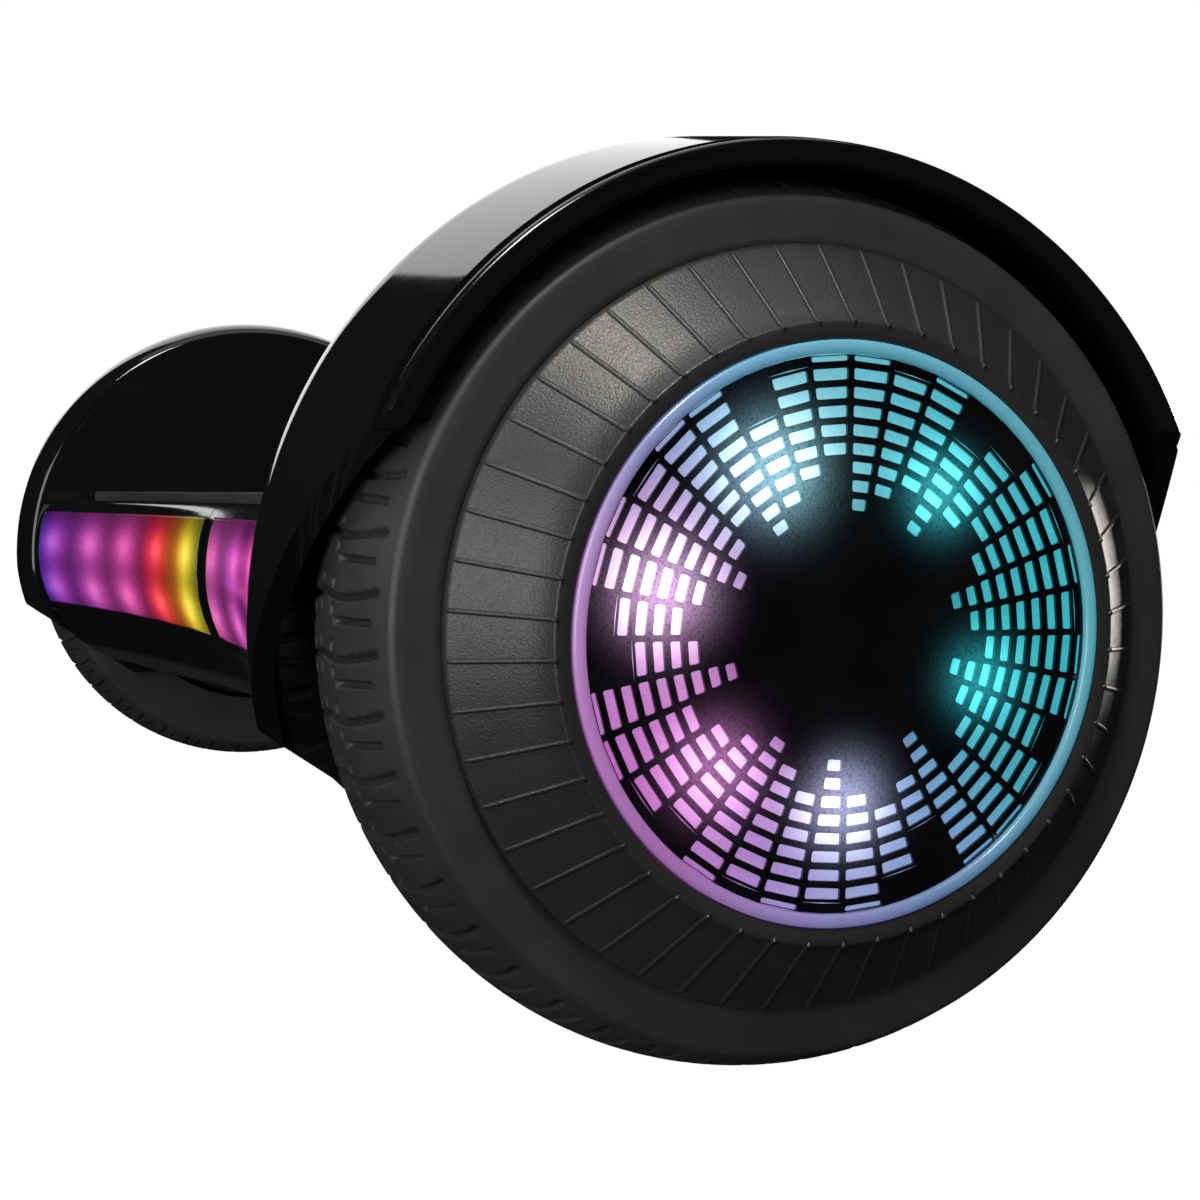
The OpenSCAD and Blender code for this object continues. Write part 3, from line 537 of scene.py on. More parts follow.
# Its LEDs, in mm: spacing, the middle of one of them, the two rows' heights, and a spot's half size
LED_PITCH, LED_PLACE = 45, -28
LED_ROWS = (-12.5, 5.5)
LED_WIDE, LED_TALL = 14, 7.5


def led_rows(m, x, up):
    """Brightness of the rows of softly blurred LEDs, with a haze along each row."""
    pitch = LED_PITCH * MM
    cell = m.math("DIVIDE", m.math("SUBTRACT", x, LED_PLACE * MM), pitch)
    dx = m.math("MULTIPLY", m.math("SUBTRACT", m.math("FRACT", m.math("ADD", cell, 0.5)), 0.5), pitch)
    wobble = m.spread(m.noise(28, 2), 0.3, 0.7, 0.75, 1.35)
    total = None
    for row in LED_ROWS:
        dz = m.math("SUBTRACT", up, row * MM)
        flat = m.math("DIVIDE", dx, LED_WIDE * MM)
        tall = m.math("DIVIDE", dz, LED_TALL * MM)
        far = m.math("ADD", m.math("MULTIPLY", flat, flat), m.math("MULTIPLY", tall, tall))
        spot = m.math("EXPONENT", m.math("MULTIPLY", far, -1.0))
        band = m.math("EXPONENT", m.math("MULTIPLY", m.math("MULTIPLY", tall, tall), -0.8))
        haze = m.math("MULTIPLY", m.math("MULTIPLY", band, wobble), 0.14)
        lit = m.math("ADD", m.math("MULTIPLY", spot, 0.70), haze)
        total = lit if total is None else m.math("ADD", total, lit)
    return total


def front_light():
    """Smoked lens over the LEDs; the colours run along the whole board."""
    m = Nodes("front_light")
    x, _, z = m.split()
    stops = [((at + LIGHT_SPAN) / (2 * LIGHT_SPAN), colour) for at, colour in LIGHT_COLOURS]
    colour = m.ramp(m.spread(x, -LIGHT_SPAN * MM, LIGHT_SPAN * MM), stops)
    speck = m.spread(m.noise(1100, 2), 0.5, 0.75, 0.0, 0.14)
    total = led_rows(m, x, m.math("SUBTRACT", z, AXLE_Z * MM))
    total = m.math("ADD", m.math("ADD", total, 0.045), speck)
    core = m.math("POWER", total, 4.0)
    lit = m.mix(1.0, m.mix(total, (0, 0, 0), colour), m.mix(core, (0, 0, 0), (0.22, 0.10, 0.10)), "ADD")
    m.set(Base_Color=m.mix(0.9, colour, (0.004, 0.003, 0.006)), Roughness=0.07, IOR=1.49)
    m.set(Emission_Color=lit, Emission_Strength=1.0)
    return m.material


def status_glow():
    """Frosted status lens in the deck."""
    m = Nodes("status_glow")
    cloudy = m.noise(300, 3)
    colour = m.ramp(cloudy, [(0.3, (0.04, 0.30, 0.42)), (0.7, (0.08, 0.42, 0.55))])
    m.set(Base_Color=(0.3, 0.5, 0.55), Roughness=0.25, Emission_Color=colour, Emission_Strength=0.5)
    return m.material


def led_board():
    """White solder mask with small phosphor tiles."""
    m = Nodes("led_board")
    cloudy = m.noise(900, 2)
    m.set(Base_Color=m.ramp(cloudy, [(0.3, (0.55, 0.55, 0.5)), (0.7, (0.72, 0.72, 0.66))]))
    m.set(Roughness=m.spread(cloudy, 0.3, 0.7, 0.35, 0.5))
    m.bump(cloudy, 0.1, 0.0002)
    return m.material


def speaker_cone():
    """Pressed paper and cloth of the speaker."""
    m = Nodes("speaker_cone")
    weave = m.voronoi(1400)
    m.set(Base_Color=m.ramp(weave, [(0.1, (0.02, 0.02, 0.02)), (0.6, (0.05, 0.05, 0.05))]), Roughness=0.7)
    m.bump(weave, 0.3, 0.0003)
    return m.material


def make_materials():
    """One material per slot of the record."""
    return {
        "gloss_shell": gloss_black("gloss_shell"),
        "rim_trim": gloss_black("rim_trim", 0.1),
        "light_lens": front_light(),
        "led_strip": led_board(),
        "cast_alloy": metal("cast_alloy", (0.5, 0.51, 0.53), 0.42, grain=500),
        "circuit_board": circuit_board(),
        "status_lens": status_glow(),
        "steel": metal("steel", (0.55, 0.55, 0.57), 0.24, (30, 1, 1), 300),
        "core_steel": laminations(),
        "copper": copper_wire(),
        "black_screw": metal("black_screw", (0.05, 0.05, 0.055), 0.36, grain=1200),
        "dark_alloy": metal("dark_alloy", (0.10, 0.10, 0.105), 0.4, grain=700),
        "magnet": metal("magnet", (0.55, 0.55, 0.57), 0.18, grain=200),
        "tyre": tyre_rubber(),
        "hub_cap": cap_plastic(),
        "hub_lens": ring_glow(),
        "hub_mask": mask_black(),
        "foot_pad": grip_rubber(),
        "bronze": metal("bronze", (0.5, 0.32, 0.13), 0.35, grain=900),
        "battery_wrap": shrink_sleeve(),
        "speaker": speaker_cone(),
        "panel": satin_plastic("panel", (0.014, 0.014, 0.015)),
        "button": metal("button", (0.6, 0.61, 0.63), 0.2, (1, 8, 1), 700),
        "socket": metal("socket", (0.55, 0.55, 0.56), 0.22, grain=500),
        "cap_rubber": satin_plastic("cap_rubber", (0.02, 0.02, 0.0205), 0.6, 2600),
    }


MATERIALS = make_materials()
WINDOW_GLOW = window_glow()


def dress_cad_nodes():
    """Gives every CAD node the material of its slot."""
    for part in frame["record"]["subparts"]:
        node = frame["nodes"][part["node"]]
        node.data.materials.clear()
        node.data.materials.append(MATERIALS[part["material_slot"]])


# ---------------------------------------------------------------- wheel arch

def sweep_height(x):
    """Height of the arch's lower front edge at a station x."""
    chord = SWEEP_HIGH - SWEEP_LOW
    length = np.linalg.norm(chord)
    aside = np.array([chord[1], -chord[0]]) / length
    centre = (SWEEP_LOW + SWEEP_HIGH) / 2 + aside * math.sqrt(SWEEP_R**2 - length**2 / 4)
    reach = SWEEP_R**2 - (x - centre[0]) ** 2
    return centre[1] + math.sqrt(max(reach, 0))


def skirt_height(y):
    """Height of the wall's lower edge at a half depth y."""
    (y0, z0), (y1, z1) = SKIRT_TOP, SKIRT_LOW
    if y <= y1:
        return z1
    return z1 + (z0 - z1) * min((y - y1) / (y0 - y1), 1)


def arch_limit(x, r):
    """Largest angle from the top, in radians, that the arch reaches at station x and radius r."""
    low = sweep_height(x) if x > BODY_X + ARCH_WALL else -1e3

    def inside(a):
        y, z = r * math.sin(a), r * math.cos(a)
        return z >= max(low, skirt_height(abs(y)))

    inner, outer = 0.0, math.radians(179.6)
    if inside(outer):
        return outer
    for _ in range(40):
        middle = (inner + outer) / 2
        inner, outer = (middle, outer) if inside(middle) else (inner, middle)
    return inner


def turned_rows(profile, steps):
    """Rows of points round the arch for each [x, r] of a profile, out to its limits."""
    rows = []
    for x, r in profile:
        most = arch_limit(x, r)
        angles = np.linspace(-most, most, steps + 1)
        rows.append([(x, r * math.sin(a), r * math.cos(a)) for a in angles])
    return rows


def shoulder(inset, steps=14):
    """Rounded shoulder of the drum from its wall to its crown, at an inset from the outside."""
    width = CROWN_X - BODY_X
    points = []
    for a in np.radians(np.linspace(90, 0, steps + 1)):
        x = CROWN_X - width * math.sin(a)
        r = CROWN_R - ARCH_EDGE * (1 - math.cos(a))
        points.append((max(x, BODY_X) + inset[0] * math.sin(a), r - inset[1] * (0.45 + 0.55 * math.cos(a))))
    return points


def fender(side):
    """Gloss drum over the wheel with its rounded shoulder and the wall beside the body."""
    def cone(x):
        return CROWN_R + (RIM_R - CROWN_R) * (x - CROWN_X) / (RIM_X - CROWN_X)

    wall_r = [AXLE_HOLE_R, 20, 30, 40, 50, 56, 62, 68, 73.5, 78, 82, 86, 89, 91.5]
    cone_x = [CROWN_X + (TRIM_X0 - 0.6 - CROWN_X) * k / 14 for k in range(1, 15)]
    outer = [(BODY_X, r) for r in wall_r] + shoulder((0, 0)) + [(x, cone(x)) for x in cone_x]
    inner = [(BODY_X + ARCH_WALL, r) for r in wall_r] + shoulder((ARCH_WALL, ARCH_T))
    inner += [(x, cone(x) - ARCH_T) for x in cone_x]
    shape = Shape()
    shape.sheet(turned_rows(outer, 200), turned_rows(inner, 200))
    node = side + "_fender"
    piece(node + "_drum", side, shape, side + "_half", "gloss_shell", [node], 30, 0.8)


def fender_trim(side):
    """Rim ring with a rounded outer edge and a fine inner bead."""
    x0, x1, r0, r1 = TRIM_X0, RIM_X, RIM_R - 5, RIM_R
    loop = [(x0, r0)] + arc(x1 - 0.9, r0 + 0.9, 0.9, -90, 0, 4)
    loop += [(x1 - 0.25, r0 + 2.3), (x1 - 0.25, r1 - 1.9)]
    loop += arc(x1 - 1.3, r1 - 1.3, 1.3, 10, 90, 6) + [(x0 + 0.7, r1 + 0.15), (x0, r1 - 0.2)]
    rows = turned_rows(loop, 200)
    shape = Shape()
    start = shape.grid(rows, wrap_rows=True)
    count, across = len(loop), len(rows[0])
    for j in (0, across - 1):
        shape.faces.append(tuple(start + i * across + j for i in range(count)))
    node = side + "_fender_trim"
    piece(node + "_ring", side, shape, side + "_half", "rim_trim", [node], 40)


# ---------------------------------------------------------------- tyre

PERIODS = 48
PERIOD = 360 / PERIODS
TREAD_START = 81.3
GROOVE_DEPTH = 1.4
BEAD_R, FLANK_R = 63, 73.5


def crowned(x):
    """Radius of the tyre's tread at station x."""
    rise, half = TYRE_R - TYRE_SIDE_R, (TYRE_X1 - TYRE_X0) / 2
    crown_r = (rise**2 + half**2) / (2 * rise)
    return TYRE_R - crown_r + math.sqrt(crown_r**2 - (x - (TYRE_X0 + TYRE_X1) / 2) ** 2)


def ramped(distance, half, soft=0.35):
    """1 inside a groove of a half width, falling to 0 over a soft edge."""
    return float(np.clip((half + soft - abs(distance)) / soft, 0, 1))


def tread_depth(out, turn):
    """Depth of the tread's grooves: out is mm from the outer side, turn is degrees within a period."""
    per_degree = TYRE_R * math.pi / 180
    wide = TYRE_X1 - TYRE_X0
    near = min(out, wide - out)
    swept = 3.6 + 1.1 * math.sin(math.pi * np.clip((near - 3) / 24, 0, 1))
    long_groove = ramped((turn - swept) * per_degree, 0.35, 0.55) * ramped(near - 30, 25.5, 0.9)
    away = min(abs(turn), abs(turn - PERIOD)) * per_degree
    short_groove = ramped(away, 0.4, 0.55) * ramped(near - 11.5, 5.4, 0.9)
    tick = max(ramped((turn - swept - s) * per_degree, 0.7, 0.5) for s in (-1.6, 1.6))
    dash = tick * max(ramped(near - 18.6, 0.25, 0.45), ramped(near - 24.2, 0.25, 0.45))
    return GROOVE_DEPTH * max(long_groove, short_groove, 0.8 * dash)


def tyre(side):
    """Tyre with a crowned tread whose grooves are real geometry."""
    edge = 1.5
    across = np.linspace(TYRE_X0 + edge, TYRE_X1 - edge, 100)
    turns = np.linspace(0, PERIOD, 25)[:-1]
    angles = np.radians(TREAD_START + np.concatenate([k * PERIOD + turns for k in range(PERIODS)]))

    def ring(x, r):
        return np.stack([np.full(len(angles), x), -r * np.sin(angles), r * np.cos(angles)], axis=1)

    rows = []
    for x in across:
        depth = np.array([tread_depth(TYRE_X1 - x, t) for t in turns])
        rows.append(ring(x, crowned(x) - np.tile(depth, PERIODS)))
    side_r = crowned(TYRE_X1 - edge)
    outside = [ring(TYRE_X1 - 0.35, side_r - 0.5), ring(TYRE_X1, side_r - 1.7), ring(TYRE_X1, 79.4)]
    outside += [ring(TYRE_X1 - 0.05, 75), ring(TYRE_X1, FLANK_R), ring(TYRE_X1 - 1.2, 72.6)]
    outside += [ring(TYRE_X1 - 1.6, BEAD_R)]
    inside = [ring(TYRE_X0 + 1.6, BEAD_R), ring(TYRE_X0, FLANK_R), ring(TYRE_X0, side_r - 1.7)]
    inside += [ring(TYRE_X0 + 0.35, side_r - 0.5)]
    shape = Shape()
    shape.grid(np.array(inside + rows + outside), wrap_rows=True, wrap_cols=True)
    node = side + "_tyre"
    piece(node + "_tread", side, shape, side + "_wheel", "tyre", [node], 60)


# ---------------------------------------------------------------- hub

def hub_cap(side):
    """Dark fluted cone with rounded ribs round the lens seat."""
    slope_x0 = TYRE_X1 + 2

    def cone(r):
        return FACE_X - 0.6 - (FACE_X - 0.6 - slope_x0) * (r - FACE_R) / (CAP_R - FACE_R)

    profile = [(TYRE_X1 + 0.1, 70), (TYRE_X1 + 0.1, CAP_R + 0.4), (slope_x0 - 0.9, CAP_R + 0.5)]
    profile += [(slope_x0 - 0.1, CAP_R + 0.2), (slope_x0 + 0.05, CAP_R - 0.2)]
    profile += [(cone(r) - 0.15, r) for r in (CAP_R - 0.5, 70, 66, 62, FACE_R + 0.35)]
    profile += [(FACE_X - 0.28, FACE_R + 0.15), (FACE_X - 0.05, FACE_R - 0.1), (FACE_X, FACE_R - 0.4)]
    profile += [(FACE_X, LENS_R + 0.7), (FACE_X - 0.15, LENS_R + 0.35), (FACE_X - 0.6, LENS_R + 0.2)]
    profile += [(FACE_X - 4.4, LENS_R + 0.2), (FACE_X - 4.4, LENS_R - 4.4), (FACE_X - 19, LENS_R - 4.4)]
    profile += [(FACE_X - 19, LENS_R - 1.9), (FACE_X - 6.9, LENS_R - 1.9), (slope_x0 - 2, 69)]
    shape = Shape()
    shape.lathe(profile + profile[:1], 400)
    for k in range(RIB_COUNT):
        add_rib(shape, cone, 360 * k / RIB_COUNT)
    node = side + "_hub_cap"
    piece(node + "_fluted", side, shape, side + "_wheel", "hub_cap", [node], 35)


def add_rib(shape, cone, degrees):
    """One rounded rib down the cone, ending in a round tip on the flat face."""
    radii = [57.0, 57.05, 57.3, 57.8, 58.6, 62, 66, 70, 72.4, 73.1, 73.35]
    a = math.radians(degrees)
    out, over = Vector((0, math.sin(a), math.cos(a))), Vector((0, math.cos(a), -math.sin(a)))
    rows = []
    for r in radii:
        end = min(1.0, math.sqrt(max(0.0, min((r - 56.99) / 0.55, (73.36 - r) / 0.4))))
        wide, tall = 0.52 * end, 0.62 * end
        base = min(cone(max(r, FACE_R)) - 0.15, FACE_X) if r > FACE_R + 0.3 else FACE_X - 0.1
        row = []
        for turn in np.radians(np.linspace(0, 180, 9)):
            p = out * r + over * (wide * math.cos(turn))
            row.append((base + tall * math.sin(turn) - 0.05, p.y, p.z))
        row.append((base - 0.6, *(out * r - over * wide)[1:]))
        row.append((base - 0.6, *(out * r + over * wide)[1:]))
        rows.append(row)
    start = shape.grid(rows, wrap_cols=True)
    count, across = len(rows), len(rows[0])
    for i in (0, count - 1):
        shape.faces.append(tuple(start + i * across + j for j in range(across)))


def hub_lens(side):
    """Frosted ring round the mask, and the diffuser behind the windows."""
    mid, half = (RING_R0 + LENS_R) / 2, (LENS_R - RING_R0) / 2
    ring = Shape()
    profile = [(MASK_X - 2.6, RING_R0), (MASK_X - 2.6, LENS_R)]
    profile += [(LENS_TOP - 0.55 * half + 0.55 * half * math.sin(a), mid + half * math.cos(a))
                for a in np.radians(np.linspace(0, 180, 13))]
    ring.lathe(profile + profile[:1], 240)
    glow = Shape()
    glow.lathe([(MASK_X - 2.6, 0.01), (MASK_X - 2.6, RING_R0), (MASK_X, RING_R0), (MASK_X + 0.05, 30),
                (MASK_X + 0.05, 0.01)], 120)
    node, body = side + "_hub_lens", side + "_wheel"
    piece(node + "_ring", side, ring, body, "hub_lens", [node])
    piece(node + "_diffuser", side, glow, body, "hub_lens", [node], material=WINDOW_GLOW)


# First and last lit row of each of the equaliser's columns, clockwise from the top
COLUMN_STARTS = "012023201201230232021012302320120123"
COLUMN_ENDS = "878568787886788468787867885688788578"
COLUMNS, ROWS = 36, 9
COLUMN_STEP, COLUMN_GAP = 360 / COLUMNS, 1.2
ROW_R0, ROW_STEP, ROW_HALF = 24.2, 3.43, 1.05
ROW_EDGES = [ROW_R0 + ROW_STEP * (k - 0.5) for k in range(ROWS)] + [RING_R0 - 0.1]
WINDOW_CORNER = 0.42
MASK_TOP, MASK_BACK = MASK_X + 0.8, MASK_X + 0.12


def cell_outline(inner, outer, half_angle, r_mid, corner=0.0, steps=4):
    """Points, as (radius, degrees), round a cell of the mask or round its window."""
    reach = corner / (r_mid * math.pi / 180)
    points = []
    for sr, sa, first in ((1, 1, 0), (-1, 1, 90), (-1, -1, 180), (1, -1, 270)):
        r = (outer - corner) if sr > 0 else (inner + corner)
        a = sa * (half_angle - reach)
        for k in range(steps + 1):
            turn = math.radians(first + 90 * k / steps)
            points.append((r + corner * math.cos(turn), a + reach * math.sin(turn)))
    return points


def turned_points(x, outline, middle):
    """Points at station x for (radius, degrees) pairs, turned by the angle of their middle."""
    points = []
    for r, degrees in outline:
        a = math.radians(middle + degrees)
        points.append((x, r * math.sin(a), r * math.cos(a)))
    return points


def dark_cell(shape, column, k):
    """Closed cell of the mask in a column and row."""
    inner, outer, half = ROW_EDGES[k], ROW_EDGES[k + 1], COLUMN_STEP / 2
    corners = [(inner, -half), (outer, -half), (outer, 0), (outer, half), (inner, half), (inner, 0)]
    start = shape.add(turned_points(MASK_TOP, corners, half + COLUMN_STEP * column))
    shape.faces.append(tuple(range(start, start + len(corners))))


def lit_cell(shape, column, k):
    """Cell of the mask with a rounded window through it."""
    inner, outer = ROW_EDGES[k], ROW_EDGES[k + 1]
    cell_mid = ROW_R0 + ROW_STEP * k
    middle = COLUMN_STEP / 2 + COLUMN_STEP * column
    half = COLUMN_STEP / 2 - COLUMN_GAP / 2 / (cell_mid * math.pi / 180)
    high = min(cell_mid + ROW_HALF, outer - 0.25)
    bounds = cell_outline(inner, outer, COLUMN_STEP / 2, cell_mid)
    window = cell_outline(cell_mid - ROW_HALF, high, half, cell_mid, WINDOW_CORNER)
    rows = [turned_points(MASK_TOP, bounds, middle), turned_points(MASK_TOP, window, middle)]
    rows.append(turned_points(MASK_BACK, window, middle))
    shape.grid(rows, wrap_cols=True)


def hub_mask(side):
    """Black disc with a real rounded window for every lit block of the equaliser."""
    shape = Shape()
    for column in range(COLUMNS):
        first, last = int(COLUMN_STARTS[column]), int(COLUMN_ENDS[column])
        for k in range(ROWS):
            if first <= k <= last:
                lit_cell(shape, column, k)
            else:
                dark_cell(shape, column, k)
    shape.lathe([(MASK_TOP, 0.01), (MASK_TOP, 8), (MASK_TOP, 16), (MASK_TOP, ROW_EDGES[0])], 72)
    shape.lathe([(MASK_TOP, ROW_EDGES[-1]), (MASK_BACK, ROW_EDGES[-1])], 72)
    node = side + "_hub_mask"
    piece(node + "_windows", side, shape, side + "_wheel", "hub_mask", [node], 30)


# ---------------------------------------------------------------- body shells

def half_depth(x, inset):
    """Half depth of the body at station x and an inset from its widest line."""
    return WAIST_AXIS - math.sqrt((WAIST_R + inset) ** 2 - x**2)


def wall_point(z):
    """Inset of the body's wall from its widest line at height z."""
    if z >= 0:
        return TOP_INSET * (1 - math.sqrt(max(0, 1 - (z / DECK_Z) ** 2)))
    return BELLY_INSET * (1 - math.sqrt(max(0, 1 - (z / BELLY_Z) ** 2)))


def top_heights():
    """Heights up the wall, from the seam to the deck, with lines at the light's edges."""
    low = [SEAM_Z, LIGHT_Z0, -14, -8, 0, 6, 11, 15, LIGHT_Z1]
    return low + [DECK_Z * math.sin(math.radians(a)) for a in (59, 65, 71, 77, 83, 90)]


def section_points(x, heights, deck_insets, thick=0.0):
    """Cross-section at station x: up the front wall, over the deck or belly, and down the rear."""
    flat = heights[-1]
    lift = (abs(flat) - (DECK_T if flat > 0 else WALL)) / abs(flat) if thick else 1.0
    wall = [(half_depth(x, wall_point(z) + thick), z * lift if z * flat > 0 else z) for z in heights]
    flat_z = flat * lift
    edge = TOP_INSET if flat > 0 else BELLY_INSET
    deck = [(half_depth(x, edge + inset + thick), flat_z) for inset in deck_insets]
    middle = deck[-1][0]
    deck += [(middle * f, flat_z) for f in (0.75, 0.5, 0.25)]
    front = [(-y, z) for y, z in wall + deck]
    return front + [(0.0, flat_z)] + [(-y, z) for y, z in reversed(front)]


def stations(marks, step=6.0):
    """Lines along the body that include every mark, no further apart than a step."""
    marks = sorted(set(round(m, 4) for m in marks))
    lines = [marks[0]]
    for a, b in zip(marks, marks[1:]):
        count = max(1, math.ceil((b - a) / step))
        lines += [a + (b - a) * k / count for k in range(1, count + 1)]
    return lines


def between(value, low, high):
    return low - 1e-6 <= value <= high + 1e-6


def end_wall(shape, outline, hole):
    """Flat wall that closes a shell at the middle of the board, with a round hole for the pivot."""
    x0, x1 = BODY_X0, BODY_X0 + WALL
    closed = outline + [(y, outline[0][1]) for y in np.linspace(outline[-1][0], outline[0][0], 14)[1:-1]]
    if not hole:
        start = shape.add([(x0, y, z) for y, z in closed])
        shape.faces.append(tuple(range(start, start + len(closed))))
        return
    ring = []
    for y, z in closed:
        size = math.hypot(y, z)
        ring.append((NOTCH_R * y / size, NOTCH_R * z / size))
    rows = [[(x0, y, z) for y, z in closed], [(x0, y, z) for y, z in ring], [(x1, y, z) for y, z in ring]]
    shape.grid(rows, wrap_cols=True)


def slot_ends():
    """Ends of the speaker's slots along the left half, two for each slot."""
    return [SPEAKER_X + SLOT_STEP * i + s * SLOT_HALF for i in range(-2, 3) for s in (-1, 1)]


def is_open(side, x, y, z):
    """Whether the upper shell is open at a point of its outside."""
    light = y < -WAIST + WALL_REACH and between(x, LIGHT_X0, LIGHT_X1) and between(z, LIGHT_Z0, LIGHT_Z1)
    status = abs(y) < STATUS_HALF and z > DECK_Z - 0.1 and between(x, STATUS_X0, STATUS_X1)
    if light or status:
        return True
    if y <= WAIST - WALL_REACH:
        return False
    if side == "right":
        return between(x, PANEL_X0, PANEL_X1) and between(z, REAR_Z0, REAR_Z1)
    ends = slot_ends()
    return REAR_Z0 < z < REAR_Z1 and any(between(x, a, b) for a, b in zip(ends[::2], ends[1::2]))


def deck_line(x, heights, insets):
    """Outside of the upper shell at station x, with the pad's recess sunk into the deck."""
    pad_y = half_depth(x, TOP_INSET + PAD_MARGIN - 0.15)
    under_pad = between(x, PAD_X0 - 0.1, PAD_X1 + 0.1)
    line = []
    for y, z in section_points(x, heights, insets):
        sunk = under_pad and z > DECK_Z - 0.01 and abs(y) < pad_y
        line.append((x, y, z - (PAD_RECESS if sunk else 0)))
    return line


def cell_middle(grid, i, j):
    """Middle of a cell: halfway along the body, and halfway round the section at its first station."""
    x = (grid[i][j][0] + grid[i + 1][j][0]) / 2
    y = (grid[i][j][1] + grid[i][j + 1][1]) / 2
    z = (grid[i][j][2] + grid[i][j + 1][2]) / 2
    return x, y, z


def top_shell(side):
    """Gloss upper shell: waisted walls, foot deck with the pad's recess, and its openings."""
    marks = [BODY_X0, BODY_X, LIGHT_X0, LIGHT_X1, STATUS_X0, STATUS_X1]
    marks += [PAD_X0 - 0.3, PAD_X0 - 0.1, PAD_X1 + 0.1, PAD_X1 + 0.3]
    marks += [PANEL_X0, PANEL_X1] if side == "right" else slot_ends()
    xs = stations(marks)
    heights = top_heights()
    insets = [2, 5, 8, PAD_MARGIN - 0.3, PAD_MARGIN - 0.1, PAD_MARGIN + 3]
    outer = [deck_line(x, heights, insets) for x in xs]
    inner = [[(x, y, z) for y, z in section_points(x, heights, insets, WALL)] for x in xs]
    keep = []
    for i in range(len(xs) - 1):
        keep.append([not is_open(side, *cell_middle(outer, i, j)) for j in range(len(outer[0]) - 1)])
    shape = Shape()
    shape.sheet(outer, inner, keep)
    end_wall(shape, [(y, z) for _, y, z in outer[0]], True)
    node = side + "_top_shell"
    piece(node + "_skin", side, shape, side + "_half", "gloss_shell", [node], 32, 0.5)


def bottom_shell(side):
    """Gloss lower shell with a rounded belly."""
    xs = stations([BODY_X0, BODY_X], 7)
    heights = [BELLY_Z * f for f in (SEAM_Z / BELLY_Z, 0.6, 0.7, 0.78, 0.85, 0.905, 0.945, 0.975, 0.993, 1)]
    insets = [1.5, 3]
    outer = [[(x, y, z) for y, z in section_points(x, heights, insets)] for x in xs]
    inner = [[(x, y, z) for y, z in section_points(x, heights, insets, WALL)] for x in xs]
    shape = Shape()
    shape.sheet(outer, inner)
    end_wall(shape, [(y, z) for _, y, z in outer[0]], False)
    node = side + "_bottom_shell"
    piece(node + "_skin", side, shape, side + "_half", "gloss_shell", [node], 32, 0.5)


def light_lens(side):
    """Smoked lens flush in the front wall."""
    gap = 0.35
    xs = stations([LIGHT_X0 + gap, LIGHT_X1 - gap], 5)
    heights = [LIGHT_Z0 + gap, -14, -8, -3, 0, 4, 8, 12, 15, LIGHT_Z1 - gap]
    outer = [[(x, -half_depth(x, wall_point(z) - 0.05), z) for z in heights] for x in xs]
    inner = [[(x, -half_depth(x, wall_point(z) + WALL), z) for z in heights] for x in xs]
    shape = Shape()
    shape.sheet(outer, inner)
    node = side + "_light_lens"
    piece(node + "_glow", side, shape, side + "_half", "light_lens", [node], 32, 0.4)


# ---------------------------------------------------------------- foot pads

# Grip bars: spacing along the body in mm, and across it as a share of the pad's half depth
BAR_STEP, BAR_COUNT = 6, 28
BAR_SHARE, BAR_SHARE_TOP, BAR_ROWS = 0.12, 0.84, 7
GRIP_LOW, GRIP_BAR, GRIP_EDGE = -0.9, -0.15, -0.5


def pad_stations():
    """Lines along the pad at its border and at both edges of every grip bar."""
    border = [PAD_X0, PAD_X0 + 0.6, PAD_X0 + 5, PAD_X0 + 6.5]
    border += [PAD_X1 - 6.5, PAD_X1 - 5, PAD_X1 - 0.6, PAD_X1]
    bars = [PAD_X0 + 8 + BAR_STEP * k + s for k in range(BAR_COUNT) for s in (0.0, 0.6, 3.0, 3.6)]
    return stations(border + bars, 3)


def pad_fractions():
    """Shares of the half depth at the border and at the bars' edges, from 1 to -1."""
    shares = [1, 0.992, 0.92, 0.9]
    for k in range(BAR_ROWS):
        shares += [BAR_SHARE_TOP - BAR_SHARE * k + s for s in (0, -0.012, -0.07, -0.082)]
    shares = sorted(set(round(f, 4) for f in shares if f > 0.02) | {0.0}, reverse=True)
    return shares + [-f for f in reversed(shares[:-1])]


def grip_height(x, f):
    """Height of the pad's surface against its border, at station x and a share f of the half depth."""
    share = abs(f)
    if x <= PAD_X0 + 0.01 or x >= PAD_X1 - 0.01 or share > 0.995:
        return GRIP_EDGE
    if x < PAD_X0 + 5.1 or x > PAD_X1 - 5.1 or share >= 0.919:
        return 0.0
    if x < PAD_X0 + 6.6 or x > PAD_X1 - 6.6 or share >= 0.899:
        return GRIP_LOW
    along = (x - PAD_X0 - 8) % BAR_STEP
    across = (BAR_SHARE_TOP - share) % BAR_SHARE
    on_bar = 0.5 < along < 3.1 and 0.011 < across < 0.0705
    return GRIP_BAR if on_bar else GRIP_LOW


def foot_pad(side):
    """Rubber pad with a raised border and rows of grip bars."""
    fractions = pad_fractions()
    top, base = [], []
    for x in pad_stations():
        wide = half_depth(x, TOP_INSET + PAD_MARGIN)
        top.append([(x, f * wide, PAD_Z1 + grip_height(x, f)) for f in fractions])
        base.append([(x, f * wide, PAD_Z0) for f in fractions])
    shape = Shape()
    shape.sheet(top, base)
    node = side + "_foot_pad"
    piece(node + "_grip", side, shape, side + "_pad", "foot_pad", [node], 50)


# ---------------------------------------------------------------- studio

